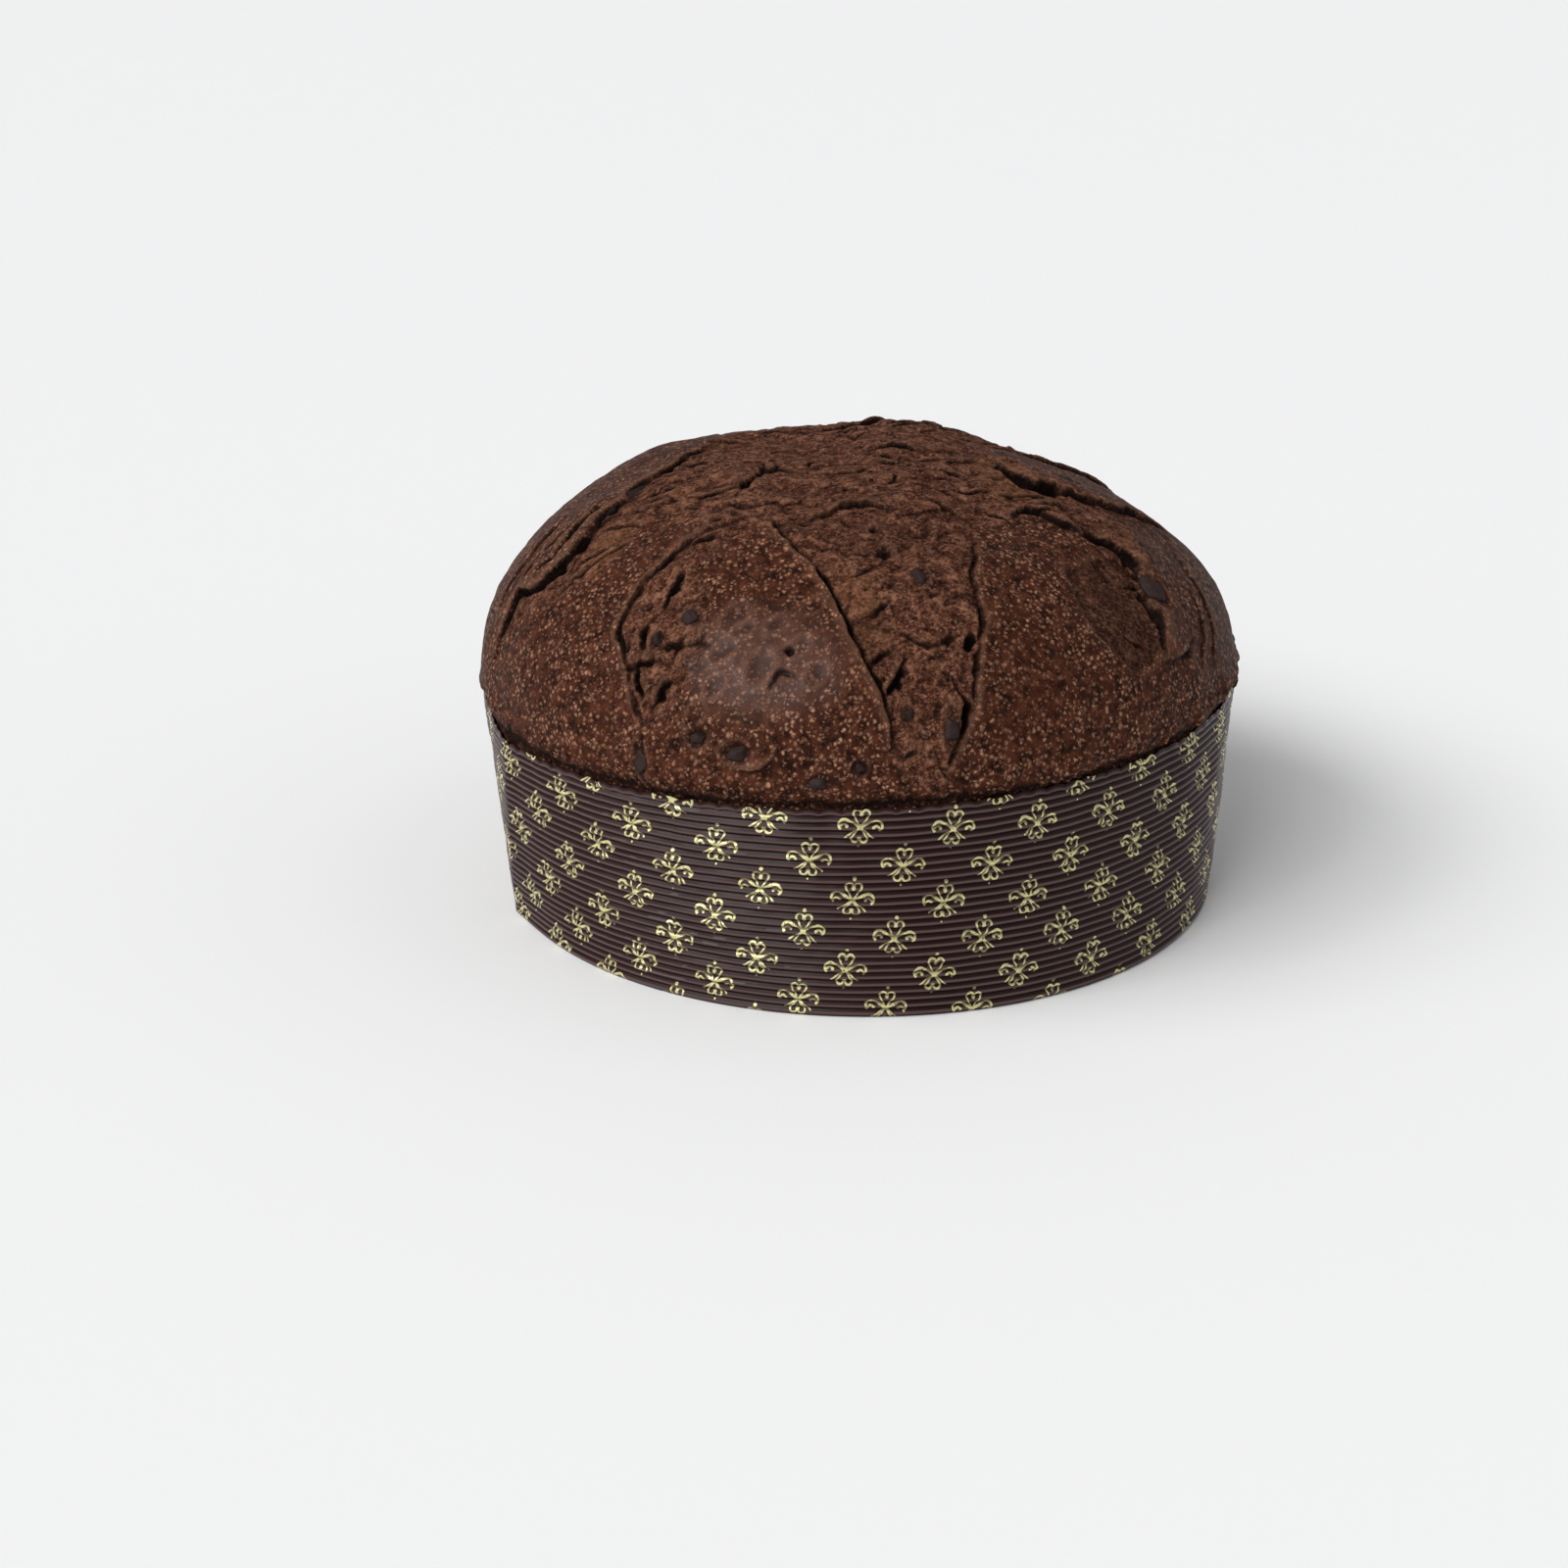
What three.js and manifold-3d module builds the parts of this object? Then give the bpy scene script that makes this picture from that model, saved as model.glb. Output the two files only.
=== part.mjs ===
// A low panettone in its paper baking mould: one baked loaf with a domed, torn crust, the ribbed
// paper band and the base tray that it was baked in, and the chocolate chunks that break through
// the crust. Millimetres, +Z up. The origin is the centre of the underside, on the table.
// Azimuth is counted from the front (-Y) towards +X.
import * as THREE from "three";
import { mergeVertices } from "three/addons/utils/BufferGeometryUtils.js";
import Module from "manifold-3d";

const wasm = await Module();
wasm.setup();

// ---------------------------------------------------------------- driving dimensions
const GAP = 0.3; // clearance between touching pieces
const SEGMENTS = 84; // facets round the axis

const MOULD_HEIGHT = 60;
const FOOT_RADIUS = 99.5; // outside of the paper band at the table
const RIM_RADIUS = 105; // outside of the paper band at its top edge, pushed out by the rising dough
const OVAL = 5; // the soft band is pushed out of round, longest towards the front left
const OVAL_AZIMUTH = -41;
const BOARD = 1.1; // thickness of the single-face corrugated paper
const OVERLAP_ANGLE = 9; // degrees of band that lie double where its two ends are glued
const OVERLAP_AZIMUTH = 176;

const TRAY_SHEET = 0.6;
const TRAY_FLANGE = 10; // height of the turned-up edge glued inside the band

// A slanting fold in the band, left of the front, with a flattened strip of paper beyond it.
const FOLD = { foot: -69, rim: -57, proud: 1.2, width: 8 };
const FLAT = { beyond: 17, depth: 1.1, width: 9 };

const DOME_RADIUS = 105.6;
const DOME_HEIGHT = 62; // from the band's top edge to the crown
const DOME_FULLNESS = 2.2; // superellipse exponent: 2 is an ellipse, more is boxier
const CROWN_SHIFT = -6.5; // the crown has risen off the axis, towards -X
const OVERHANG_RISE = 3; // height over which the crust swells out over the paper's edge
const CREST = MOULD_HEIGHT + 0.6;

// Where the baked loaf has drawn back from the paper, as far down as "depth".
const SHRINK = { azimuth: -92, width: 17, gap: 4.2, depth: 24 };

// Broad swellings and hollows of the crust: [x, y, height, spread].
const SWELLS = [
  [-38, -60, 3.0, 24], // front flap, left of the long diagonal tear
  [-78, -38, 2.6, 20], // left flap
  [-66, 46, 2.4, 24], // back left shoulder
  [30, -36, -2.2, 18], // torn valley right of the diagonal tear
  [62, -34, 1.6, 18], // right flap
  [66, 24, -1.6, 22], // torn right shoulder
  [14, 56, 1.6, 22],
  [-20, 10, -1.6, 20], // sunken centre of the scored cross
];

// Chocolate chunks in the crust: [azimuth, lift, length, width, turn]. Lift is 0 at the paper's
// edge and 1 at the crown; turn is counted from the level towards the crown.
const CHUNKS = [
  [-26, 0.41, 6, 4.5, 20],
  [-30.5, 0.345, 5, 4, 60],
  [16, 0.55, 6.5, 5, 70],
  [8, 0.21, 5, 3.5, 70],
  [14, 0.16, 11, 4, 80],
  [-16, 0.11, 7, 5, 10],
  [-21.5, 0.135, 5, 4.5, 60],
  [-30, 0.06, 8, 4, 100],
  [-5, 0.05, 7, 4, 10],
  [0.5, 0.085, 4.5, 3.5, 40],
  [65, 0.35, 11, 6, 75],
  [100, 0.62, 9, 6, 40],
  [140, 0.3, 10, 5.5, 120],
  [-150, 0.45, 9, 6, 15],
  [-118, 0.25, 8, 5, 60],
  [172, 0.12, 9, 5, 95],
];
const CHUNK_THICKNESS = 4;
const CHUNK_PROUD = 0.8; // how far a chunk stands out of the crust

const COLOURS = {
  crust: 0x4a2a1e,
  paper: 0x33262a,
  tray: 0x3b2a25,
  chocolate: 0x2a1c1a,
};

// ---------------------------------------------------------------- plan and flare
const rad = THREE.MathUtils.degToRad;

// Signed difference of two azimuths in degrees, -180..180.
function between(a, b) {
  return ((((a - b + 180) % 360) + 360) % 360) - 180;
}

// A point of the plan at an azimuth and radius, and the same point raised to a height.
function planPoint(azimuth, radius) {
  return new THREE.Vector2(radius * Math.sin(rad(azimuth)), -radius * Math.cos(rad(azimuth)));
}

function atHeight(plan, z) {
  return new THREE.Vector3(plan.x, plan.y, z);
}

// How far the band is off the round at an azimuth; "up" is 0 at the table and 1 at the top edge.
function planOffset(azimuth, up) {
  const oval = OVAL * up * Math.cos(2 * rad(azimuth - OVAL_AZIMUTH));
  const fold = THREE.MathUtils.lerp(FOLD.foot, FOLD.rim, up);
  const ridge = FOLD.proud * Math.exp(-Math.abs(between(azimuth, fold)) / FOLD.width);
  const flat = FLAT.depth * Math.exp(-((between(azimuth, fold - FLAT.beyond) / FLAT.width) ** 2));
  return oval + ridge - flat;
}

// Radius of the band's outside at a height.
function bandRadius(azimuth, z) {
  const up = THREE.MathUtils.clamp(z / MOULD_HEIGHT, 0, 1);
  return THREE.MathUtils.lerp(FOOT_RADIUS, RIM_RADIUS, up ** 0.8) + planOffset(azimuth, up);
}

// Moves each point of a piece, made round at nominal radii, so that its distance inside
// the band's outside stays the same where the band flares and leaves the round.
function fitToBand(geometry) {
  const position = geometry.getAttribute("position");
  const point = new THREE.Vector3();
  for (let i = 0; i < position.count; i++) {
    point.fromBufferAttribute(position, i);
    const radius = Math.hypot(point.x, point.y);
    if (radius < 1e-6) continue;
    const azimuth = THREE.MathUtils.radToDeg(Math.atan2(point.x, -point.y));
    const target = (radius / RIM_RADIUS) * bandRadius(azimuth, point.z);
    const inset = radius - RIM_RADIUS + bandRadius(azimuth, point.z);
    const near = THREE.MathUtils.smoothstep(radius, RIM_RADIUS * 0.6, RIM_RADIUS * 0.85);
    const moved = THREE.MathUtils.lerp(target, inset, near);
    position.setXY(i, (point.x / radius) * moved, (point.y / radius) * moved);
  }
  return geometry;
}

// ---------------------------------------------------------------- solids
function lathe(profile, segments = SEGMENTS) {
  const points = profile.map(([r, z]) => new THREE.Vector2(r, z));
  return new THREE.LatheGeometry(points, segments).rotateX(Math.PI / 2);
}

// A closed skin: a point at the bottom, rings of points stacked over it, and a point on top.
function skinOver(bottom, rings, top) {
  const points = [bottom, top];
  for (const ring of rings) {
    for (let i = 0; i < SEGMENTS; i++) points.push(ring((i * 360) / SEGMENTS));
  }
  const corner = (row, i) => 2 + row * SEGMENTS + (i % SEGMENTS);
  const last = rings.length - 1;
  const faces = [];
  for (let i = 0; i < SEGMENTS; i++) {
    faces.push(0, corner(0, i + 1), corner(0, i));
    faces.push(1, corner(last, i), corner(last, i + 1));
    for (let row = 0; row < last; row++) {
      faces.push(corner(row, i), corner(row, i + 1), corner(row + 1, i + 1));
      faces.push(corner(row, i), corner(row + 1, i + 1), corner(row + 1, i));
    }
  }
  return new THREE.BufferGeometry().setFromPoints(points).setIndex(faces);
}

function toSolid(geometry) {
  const bare = geometry.clone();
  for (const name of ["normal", "uv"]) bare.deleteAttribute(name);
  const merged = mergeVertices(bare, 1e-3);
  const vertProperties = new Float32Array(merged.getAttribute("position").array);
  const triVerts = new Uint32Array(merged.index.array);
  return new wasm.Manifold(new wasm.Mesh({ numProp: 3, vertProperties, triVerts }));
}

function toGeometry(solid) {
  const { vertProperties, triVerts } = solid.getMesh();
  return new THREE.BufferGeometry()
    .setAttribute("position", new THREE.BufferAttribute(vertProperties, 3))
    .setIndex(new THREE.BufferAttribute(triVerts, 1));
}

// ---------------------------------------------------------------- paper band
// One strip wound round and glued to itself: the outline steps out where it lies double.
function paperBand() {
  const outside = [];
  const inside = [];
  for (let i = 0; i < SEGMENTS; i++) {
    const turned = (i * 360) / SEGMENTS;
    const azimuth = OVERLAP_AZIMUTH + turned;
    inside.push(planPoint(azimuth, RIM_RADIUS - BOARD));
    outside.push(planPoint(azimuth, turned <= OVERLAP_ANGLE ? RIM_RADIUS + BOARD : RIM_RADIUS));
    const lastDouble = turned <= OVERLAP_ANGLE && turned + 360 / SEGMENTS > OVERLAP_ANGLE;
    if (lastDouble) outside.push(planPoint(azimuth + 0.15, RIM_RADIUS));
  }
  outside.push(planPoint(OVERLAP_AZIMUTH - 0.15, RIM_RADIUS));
  const shape = new THREE.Shape(outside);
  shape.holes.push(new THREE.Path(inside));
  const strip = { depth: MOULD_HEIGHT, steps: 5, bevelEnabled: false };
  return fitToBand(new THREE.ExtrudeGeometry(shape, strip));
}

// ---------------------------------------------------------------- base tray
function baseTray() {
  const outer = RIM_RADIUS - BOARD - GAP;
  const inner = outer - TRAY_SHEET;
  return fitToBand(
    lathe([
      [0, 0],
      [outer * 0.55, 0],
      [outer * 0.8, 0],
      [outer, 0],
      [outer, TRAY_FLANGE],
      [inner, TRAY_FLANGE],
      [inner, TRAY_SHEET],
      [outer * 0.8, TRAY_SHEET],
      [outer * 0.55, TRAY_SHEET],
      [0, TRAY_SHEET],
    ]),
  );
}

// ---------------------------------------------------------------- loaf
const SIDE_HEIGHTS = [TRAY_SHEET + GAP, TRAY_FLANGE + GAP, TRAY_FLANGE + 1.2, 24, 36, 46, 54, CREST];
const DOME_STEPS = 26;

// 1 in the middle of the stretch where the loaf has drawn back from the paper, 0 away from it.
function drawnBack(azimuth) {
  return Math.exp(-((between(azimuth, SHRINK.azimuth) / SHRINK.width) ** 2));
}

// Radius of the part of the loaf that stands in the mould.
function sideRadius(azimuth, z) {
  const inTray = z < TRAY_FLANGE + 1 ? TRAY_SHEET + GAP : 0;
  const drawn = SHRINK.gap * drawnBack(azimuth);
  const free = THREE.MathUtils.smoothstep(z, CREST - SHRINK.depth, CREST);
  return bandRadius(azimuth, z) - BOARD - GAP - inTray - drawn * free;
}

// A point of the dome: lift 0 is at the paper's edge and 1 at the crown.
function domePoint(azimuth, lift) {
  const angle = (lift * Math.PI) / 2;
  const power = 2 / DOME_FULLNESS;
  const height = CREST + DOME_HEIGHT * Math.sin(angle) ** power;
  const oval = OVAL * 0.8 * Math.cos(2 * rad(azimuth - OVAL_AZIMUTH)) * (1 - lift);
  const full = DOME_RADIUS + oval - 1.5 * drawnBack(azimuth);
  const swollen = THREE.MathUtils.smoothstep(height, CREST - 0.1, CREST + OVERHANG_RISE);
  const reach = THREE.MathUtils.lerp(sideRadius(azimuth, CREST), full, swollen);
  const plan = planPoint(azimuth, reach * Math.cos(angle) ** power);
  const x = plan.x + CROWN_SHIFT * Math.sin(angle);
  const free = THREE.MathUtils.smoothstep(height, CREST, CREST + 18);
  const swell = SWELLS.reduce((sum, [cx, cy, rise, spread]) => {
    return sum + rise * Math.exp(-((x - cx) ** 2 + (plan.y - cy) ** 2) / spread ** 2);
  }, 0);
  return new THREE.Vector3(x, plan.y, height + swell * free);
}

// The loaf from the centre of its underside, up its side and over the dome to the crown.
function loafBody() {
  const foot = SIDE_HEIGHTS[0];
  const rings = [(azimuth) => atHeight(planPoint(azimuth, 60), foot)];
  for (const z of SIDE_HEIGHTS) {
    rings.push((azimuth) => atHeight(planPoint(azimuth, sideRadius(azimuth, z)), z));
  }
  for (let i = 1; i < DOME_STEPS; i++) {
    rings.push((azimuth) => domePoint(azimuth, i / DOME_STEPS));
  }
  return skinOver(new THREE.Vector3(0, 0, foot), rings, domePoint(0, 1));
}

// ---------------------------------------------------------------- chocolate chunks
// A faceted chunk lying in the crust; "grown" makes the pocket that it lies in.
function chunk([azimuth, lift, length, width, turn], index, grown = 0) {
  const at = domePoint(azimuth, lift);
  const alongside = domePoint(azimuth + 1, lift).sub(at).normalize();
  const upwards = domePoint(azimuth, lift + 0.01).sub(at).normalize();
  const outwards = new THREE.Vector3().crossVectors(alongside, upwards).normalize();
  const geometry = new THREE.IcosahedronGeometry(1, 1);
  const position = geometry.getAttribute("position");
  const point = new THREE.Vector3();
  for (let i = 0; i < position.count; i++) {
    point.fromBufferAttribute(position, i);
    const ripple = Math.sin(5 * point.x + 3 * index) * Math.cos(4 * point.y + 2 * point.z + index);
    const chipped = 1 + 0.12 * ripple;
    position.setXYZ(i, point.x * chipped, point.y * chipped, point.z * chipped);
  }
  const half = [length, width, CHUNK_THICKNESS].map((size) => size / 2 + grown);
  geometry.scale(...half);
  geometry.rotateZ(rad(turn));
  const frame = new THREE.Matrix4().makeBasis(alongside, upwards, outwards);
  geometry.applyMatrix4(frame);
  const sunk = at.addScaledVector(outwards, CHUNK_PROUD - CHUNK_THICKNESS / 2);
  return geometry.translate(sunk.x, sunk.y, sunk.z);
}

// ---------------------------------------------------------------- the assembly
const finish = {
  crust: new THREE.MeshStandardMaterial({ color: COLOURS.crust, roughness: 0.7, metalness: 0 }),
  paper: new THREE.MeshStandardMaterial({ color: COLOURS.paper, roughness: 0.5, metalness: 0 }),
  tray: new THREE.MeshStandardMaterial({ color: COLOURS.tray, roughness: 0.8, metalness: 0 }),
  chocolate: new THREE.MeshStandardMaterial({ color: COLOURS.chocolate, roughness: 0.4, metalness: 0 }),
};

function piece(name, geometry, material) {
  geometry.computeVertexNormals();
  const mesh = new THREE.Mesh(geometry, material);
  mesh.name = name;
  return mesh;
}

const panettone = new THREE.Group();
let loaf = toSolid(loafBody());
CHUNKS.forEach((row, index) => {
  loaf = loaf.subtract(toSolid(chunk(row, index, GAP)));
  const name = `chocolate_chunk_${String(index + 1).padStart(2, "0")}`;
  panettone.add(piece(name, chunk(row, index), finish.chocolate));
});
panettone.add(piece("loaf", toGeometry(loaf), finish.crust));
panettone.add(piece("paper_band", paperBand(), finish.paper));
panettone.add(piece("base_tray", baseTray(), finish.tray));

export default panettone;
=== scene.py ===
# %% [markdown]
# # A chocolate panettone in its paper mould
# The CAD model holds the real sizes: a loaf 210 mm across, the ribbed paper band and base tray that
# it was baked in, and the chocolate chunks that break through its crust. This notebook gives those
# pieces their looks. Everything is in metres and stands in the same frame as the CAD model, so
# nothing has to be fitted afterwards.

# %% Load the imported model
import math
import bpy
import numpy as np
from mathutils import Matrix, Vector
from mathutils.bvhtree import BVHTree


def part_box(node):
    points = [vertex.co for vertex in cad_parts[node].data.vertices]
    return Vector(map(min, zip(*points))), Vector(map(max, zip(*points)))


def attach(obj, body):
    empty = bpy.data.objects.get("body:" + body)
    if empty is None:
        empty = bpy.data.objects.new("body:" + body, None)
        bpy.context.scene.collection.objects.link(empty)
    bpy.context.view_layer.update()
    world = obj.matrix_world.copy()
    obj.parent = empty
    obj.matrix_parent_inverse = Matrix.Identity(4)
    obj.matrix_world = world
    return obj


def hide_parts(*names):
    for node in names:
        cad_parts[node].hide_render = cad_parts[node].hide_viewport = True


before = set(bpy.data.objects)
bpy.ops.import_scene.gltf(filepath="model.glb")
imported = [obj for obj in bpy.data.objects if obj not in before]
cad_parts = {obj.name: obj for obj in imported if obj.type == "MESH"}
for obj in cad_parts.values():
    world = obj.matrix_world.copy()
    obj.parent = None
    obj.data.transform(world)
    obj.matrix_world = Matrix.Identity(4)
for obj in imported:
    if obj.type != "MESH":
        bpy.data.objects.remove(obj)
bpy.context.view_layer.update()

MM = 0.001

# %% [markdown]
# ## Camera
# The view looks down on the loaf by 23 degrees from 85 cm away, level, so the dome and the front of
# the paper band both show. The aim is a little off the axis, which leaves room beside the loaf.

# %% Camera
VIEW_ELEVATION = math.radians(23)
VIEW_DISTANCE = 0.85
AIM_ASIDE = -21.7 * MM
AIM_UP = 23.4 * MM

toward_camera = Vector((0, -math.cos(VIEW_ELEVATION), math.sin(VIEW_ELEVATION)))
up_in_view = Vector((0, math.sin(VIEW_ELEVATION), math.cos(VIEW_ELEVATION)))
aim = Vector((AIM_ASIDE, 0, 0)) + AIM_UP * up_in_view
bpy.ops.object.camera_add(location=VIEW_DISTANCE * toward_camera)
camera = bpy.context.object
camera.rotation_euler = (aim - camera.location).to_track_quat("-Z", "Y").to_euler()
camera.data.lens = 67.9
bpy.context.scene.camera = camera
bpy.context.scene.view_settings.view_transform = "Standard"
print("camera at", [round(x, 3) for x in camera.location])

# %% [markdown]
# ## Light and floor
# Soft studio light: a long softbox on the left would draw a bright line on each flute of the paper. An
# area light that near leaves the floor uneven, so three wide suns side by side stand for it here. A
# weaker sun fills from the right, and a pale world opens the shadows. The floor is a plain pale
# sheet, so the loaf's soft shadow is all it shows.

# %% World, key and fill light, floor
world = bpy.data.worlds.new("studio")
world.use_nodes = True
world.node_tree.nodes["Background"].inputs["Color"].default_value = (0.97, 0.98, 1.0, 1)
world.node_tree.nodes["Background"].inputs["Strength"].default_value = 0.38
bpy.context.scene.world = world


def wide_light(name, place, strength, width):
    """A sun as soft as a softbox that is "width" degrees across, shining from a place to the loaf."""
    bpy.ops.object.light_add(type="SUN", location=place)
    light = bpy.context.object
    light.name = name
    light.data.energy = strength
    light.data.angle = math.radians(width)
    light.rotation_euler = (-Vector(place)).to_track_quat("-Z", "Y").to_euler()


wide_light("key_light_front", (-0.45, -0.9, 0.88), 1.1, 26)
wide_light("key_light_middle", (-0.8, -0.62, 0.88), 1.2, 26)
wide_light("key_light_side", (-0.98, -0.22, 0.88), 0.85, 26)
wide_light("fill_light", (1.0, -0.2, 0.9), 0.2, 60)

bpy.ops.mesh.primitive_plane_add(size=8, location=(0, 0, 0))
floor = bpy.context.object
floor.name = "floor"

# %% [markdown]
# ## Small tools
# A mesh of many thousand points is quickest to shape as one numpy table, so two functions read and
# write the points of an object. Another makes one object the only selected one, because an operator
# acts on everything that is selected. The last one lays a value on every point of a mesh, as an
# attribute that a material can read later.


# %% Tools for points and selection
def select_only(piece):
    """Leaves one object selected and active, for the next operator."""
    bpy.ops.object.select_all(action="DESELECT")
    piece.select_set(True)
    bpy.context.view_layer.objects.active = piece


def get_points(piece):
    points = np.empty(len(piece.data.vertices) * 3, np.float32)
    piece.data.vertices.foreach_get("co", points)
    return points.reshape(-1, 3).astype(float)


def set_points(piece, points):
    piece.data.vertices.foreach_set("co", points.astype(np.float32).ravel())
    piece.data.update()


def paint(piece, name, values):
    """Lays one value on each point, for a material to read as an attribute."""
    layer = piece.data.attributes.new(name, "FLOAT", "POINT")
    layer.data.foreach_set("value", values.astype(np.float32))


def smoothstep(value, low, high):
    t = np.clip((value - low) / (high - low), 0, 1)
    return t * t * (3 - 2 * t)


print("smoothstep half way:", smoothstep(0.5, 0, 1))

# %% [markdown]
# ## Reading the CAD surfaces
# The CAD loaf has the right size and plan, but it is faceted. Rays cast from a point in its heart
# measure how far the crust is in each direction. Every direction is hit once, because the loaf has
# no overhang as seen from there. The distances are read at the corners of the facets and
# joined by a smooth curve, so the facets vanish and the size stays. Rays that fall into the pocket of
# a chocolate chunk are left out, and filled in from both sides.

# %% Distances from the heart of the loaf to its crust
HEART = np.array([0, 0, 20.0])  # mm
SIDES = 84  # facets round the CAD loaf
ROWS_PER_DEGREE = 2
MAP_SCALE = 105.0  # mm of map for each radian from the vertical
ABOVE_POLE = 8  # rows repeated beyond the crown, so that the surface is smooth across it


def headings(azimuth):
    """Unit vectors in the plan; azimuth is in degrees from the front towards +X."""
    turn = np.radians(azimuth)
    return np.stack([np.sin(turn), -np.cos(turn)], -1)


def shape_tree(piece):
    return BVHTree.FromObject(piece, bpy.context.evaluated_depsgraph_get())


def measure_loaf():
    """Table of distances in mm: a row for each half degree from the vertical, a column for each facet."""
    tree = shape_tree(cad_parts["loaf"])
    chunks = [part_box(name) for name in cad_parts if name.startswith("chocolate")]
    angles = np.radians(np.arange(0, 175 * ROWS_PER_DEGREE) / ROWS_PER_DEGREE)
    table = np.full((len(angles), SIDES), np.nan)
    start = Vector(HEART * MM)
    around = headings(np.arange(SIDES) * 360 / SIDES + 0.01)
    for row, angle in enumerate(angles):
        for column, (x, y) in enumerate(around):
            ray = Vector((x * math.sin(angle + 1e-4), y * math.sin(angle + 1e-4), math.cos(angle + 1e-4)))
            point, _, _, distance = tree.ray_cast(start, ray)
            in_pocket = any(
                all(low[k] - MM < point[k] < high[k] + MM for k in range(3)) for low, high in chunks
            )
            if not in_pocket:
                table[row, column] = distance / MM
    columns = np.arange(SIDES)
    for row in table:
        known = np.isfinite(row)
        row[:] = np.interp(columns, columns[known], row[known], period=SIDES)
    return table


loaf_table = measure_loaf()
print("rays cast:", loaf_table.size)


# %% Round the facets of the dome
def soften(table, rows, spread):
    """Rounds the facets of the dome along its meridians, down to a given row."""
    over_the_pole = np.roll(table[1 : ABOVE_POLE + 1][::-1], SIDES // 2, axis=1)
    table = np.concatenate([over_the_pole, table])
    reach = np.arange(-ABOVE_POLE, ABOVE_POLE + 1)
    weights = np.exp(-((reach / spread) ** 2))
    weights /= weights.sum()
    padded = np.concatenate([np.roll(table[1:2], SIDES // 2, axis=1).repeat(ABOVE_POLE, 0), table])
    padded = np.concatenate([padded, table[-1:].repeat(ABOVE_POLE, 0)])
    soft = sum(w * padded[k : k + len(table)] for k, w in enumerate(weights))
    soft[: ABOVE_POLE - 1] = table[: ABOVE_POLE - 1]
    blend = smoothstep(np.arange(len(table)) - ABOVE_POLE, rows, rows - 8)[:, None]
    return table + (soft - table) * blend


reach_table = soften(loaf_table, rows=64 * ROWS_PER_DEGREE, spread=4)
print("crust is", reach_table.min().round(1), "to", reach_table.max().round(1), "mm from the heart")


# %% Smooth lookup in a measured table
def cubic_weights(t):
    """Catmull-Rom weights of the four neighbours of a place t between the middle two."""
    return [
        -0.5 * t + t**2 - 0.5 * t**3,
        1 - 2.5 * t**2 + 1.5 * t**3,
        0.5 * t + 2 * t**2 - 1.5 * t**3,
        -0.5 * t**2 + 0.5 * t**3,
    ]


def lookup(table, row, column):
    """Value at fractional rows and columns; the columns go round the loaf."""
    row = np.clip(row, 1, len(table) - 3)
    first_row = np.floor(row).astype(int)
    first_column = np.floor(column).astype(int)
    total = 0
    for i, row_weight in enumerate(cubic_weights(row - first_row)):
        for j, column_weight in enumerate(cubic_weights(column - first_column)):
            picked = table[first_row + i - 1, (first_column + j - 1) % table.shape[1]]
            total = total + row_weight * column_weight * picked
    return total


print("weights half way:", cubic_weights(0.5))

# %% [markdown]
# ## A map of the crust
# Modelling cracks on a dome is easier on a flat map. The loaf starts as a flat round sheet whose
# radius is the angle from the vertical: its centre is the crown, its edge lies under the loaf. All
# the tears are drawn on that sheet, and only then is it wrapped round the heart. A place on the map
# is given in millimetres, x to the right and y to the back; the paper's edge is about 126 mm out.


# %% Wrapping the map round the heart
def wrap(flat):
    """Points in mm on the smooth loaf, for places on the map."""
    out = np.hypot(flat[:, 0], flat[:, 1])
    angle = out / MAP_SCALE
    azimuth = np.degrees(np.arctan2(flat[:, 0], -flat[:, 1]))
    row = np.degrees(angle) * ROWS_PER_DEGREE + ABOVE_POLE
    reach = lookup(reach_table, row, azimuth * SIDES / 360)
    heading = headings(azimuth) * np.sin(angle)[:, None]
    return HEART + reach[:, None] * np.column_stack([heading, np.cos(angle)])


def surface_normals(flat, step=1.2):
    across_x = wrap(flat + [step, 0]) - wrap(flat - [step, 0])
    across_y = wrap(flat + [0, step]) - wrap(flat - [0, step])
    normals = np.cross(across_x, across_y)
    return normals / np.linalg.norm(normals, axis=1, keepdims=True)


print("the crown is at", wrap(np.zeros((1, 2))).round(1), "mm")

# %% The flat sheet
GRID = 560
SHEET_ANGLE = 80  # degrees from the vertical that the finely meshed part covers
SKIRT_ANGLES = [90, 99, 103, 140]  # coarse rings down the hidden side and under the foot


def square_to_disc(points):
    """Moves a square of points out to a disc, each square ring to a round one."""
    x, y = points[:, 0], points[:, 1]
    wide = np.abs(x) > np.abs(y)
    long_side = np.where(wide, x, y)
    short_side = np.where(wide, y, x)
    turn = np.pi / 4 * short_side / np.where(long_side == 0, 1, long_side)
    along = long_side * np.cos(turn)
    beside = long_side * np.sin(turn)
    return np.column_stack([np.where(wide, along, beside), np.where(wide, beside, along)])


bpy.ops.object.select_all(action="DESELECT")
bpy.ops.mesh.primitive_grid_add(x_subdivisions=GRID, y_subdivisions=GRID, size=2)
loaf = bpy.context.object
loaf.name = "loaf_crust"
sheet_radius = math.radians(SHEET_ANGLE) * MAP_SCALE * MM
disc = square_to_disc(get_points(loaf)) * sheet_radius
set_points(loaf, np.column_stack([disc, np.zeros(len(disc))]))

bpy.ops.object.mode_set(mode="EDIT")
bpy.ops.mesh.select_all(action="DESELECT")
bpy.ops.mesh.select_non_manifold(extend=False)
for inner, outer in zip([SHEET_ANGLE] + SKIRT_ANGLES, SKIRT_ANGLES):
    bpy.ops.mesh.extrude_region_move()
    bpy.ops.transform.resize(value=(outer / inner, outer / inner, 1))
bpy.ops.object.mode_set(mode="OBJECT")
print("flat sheet:", len(loaf.data.vertices), "points")

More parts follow.
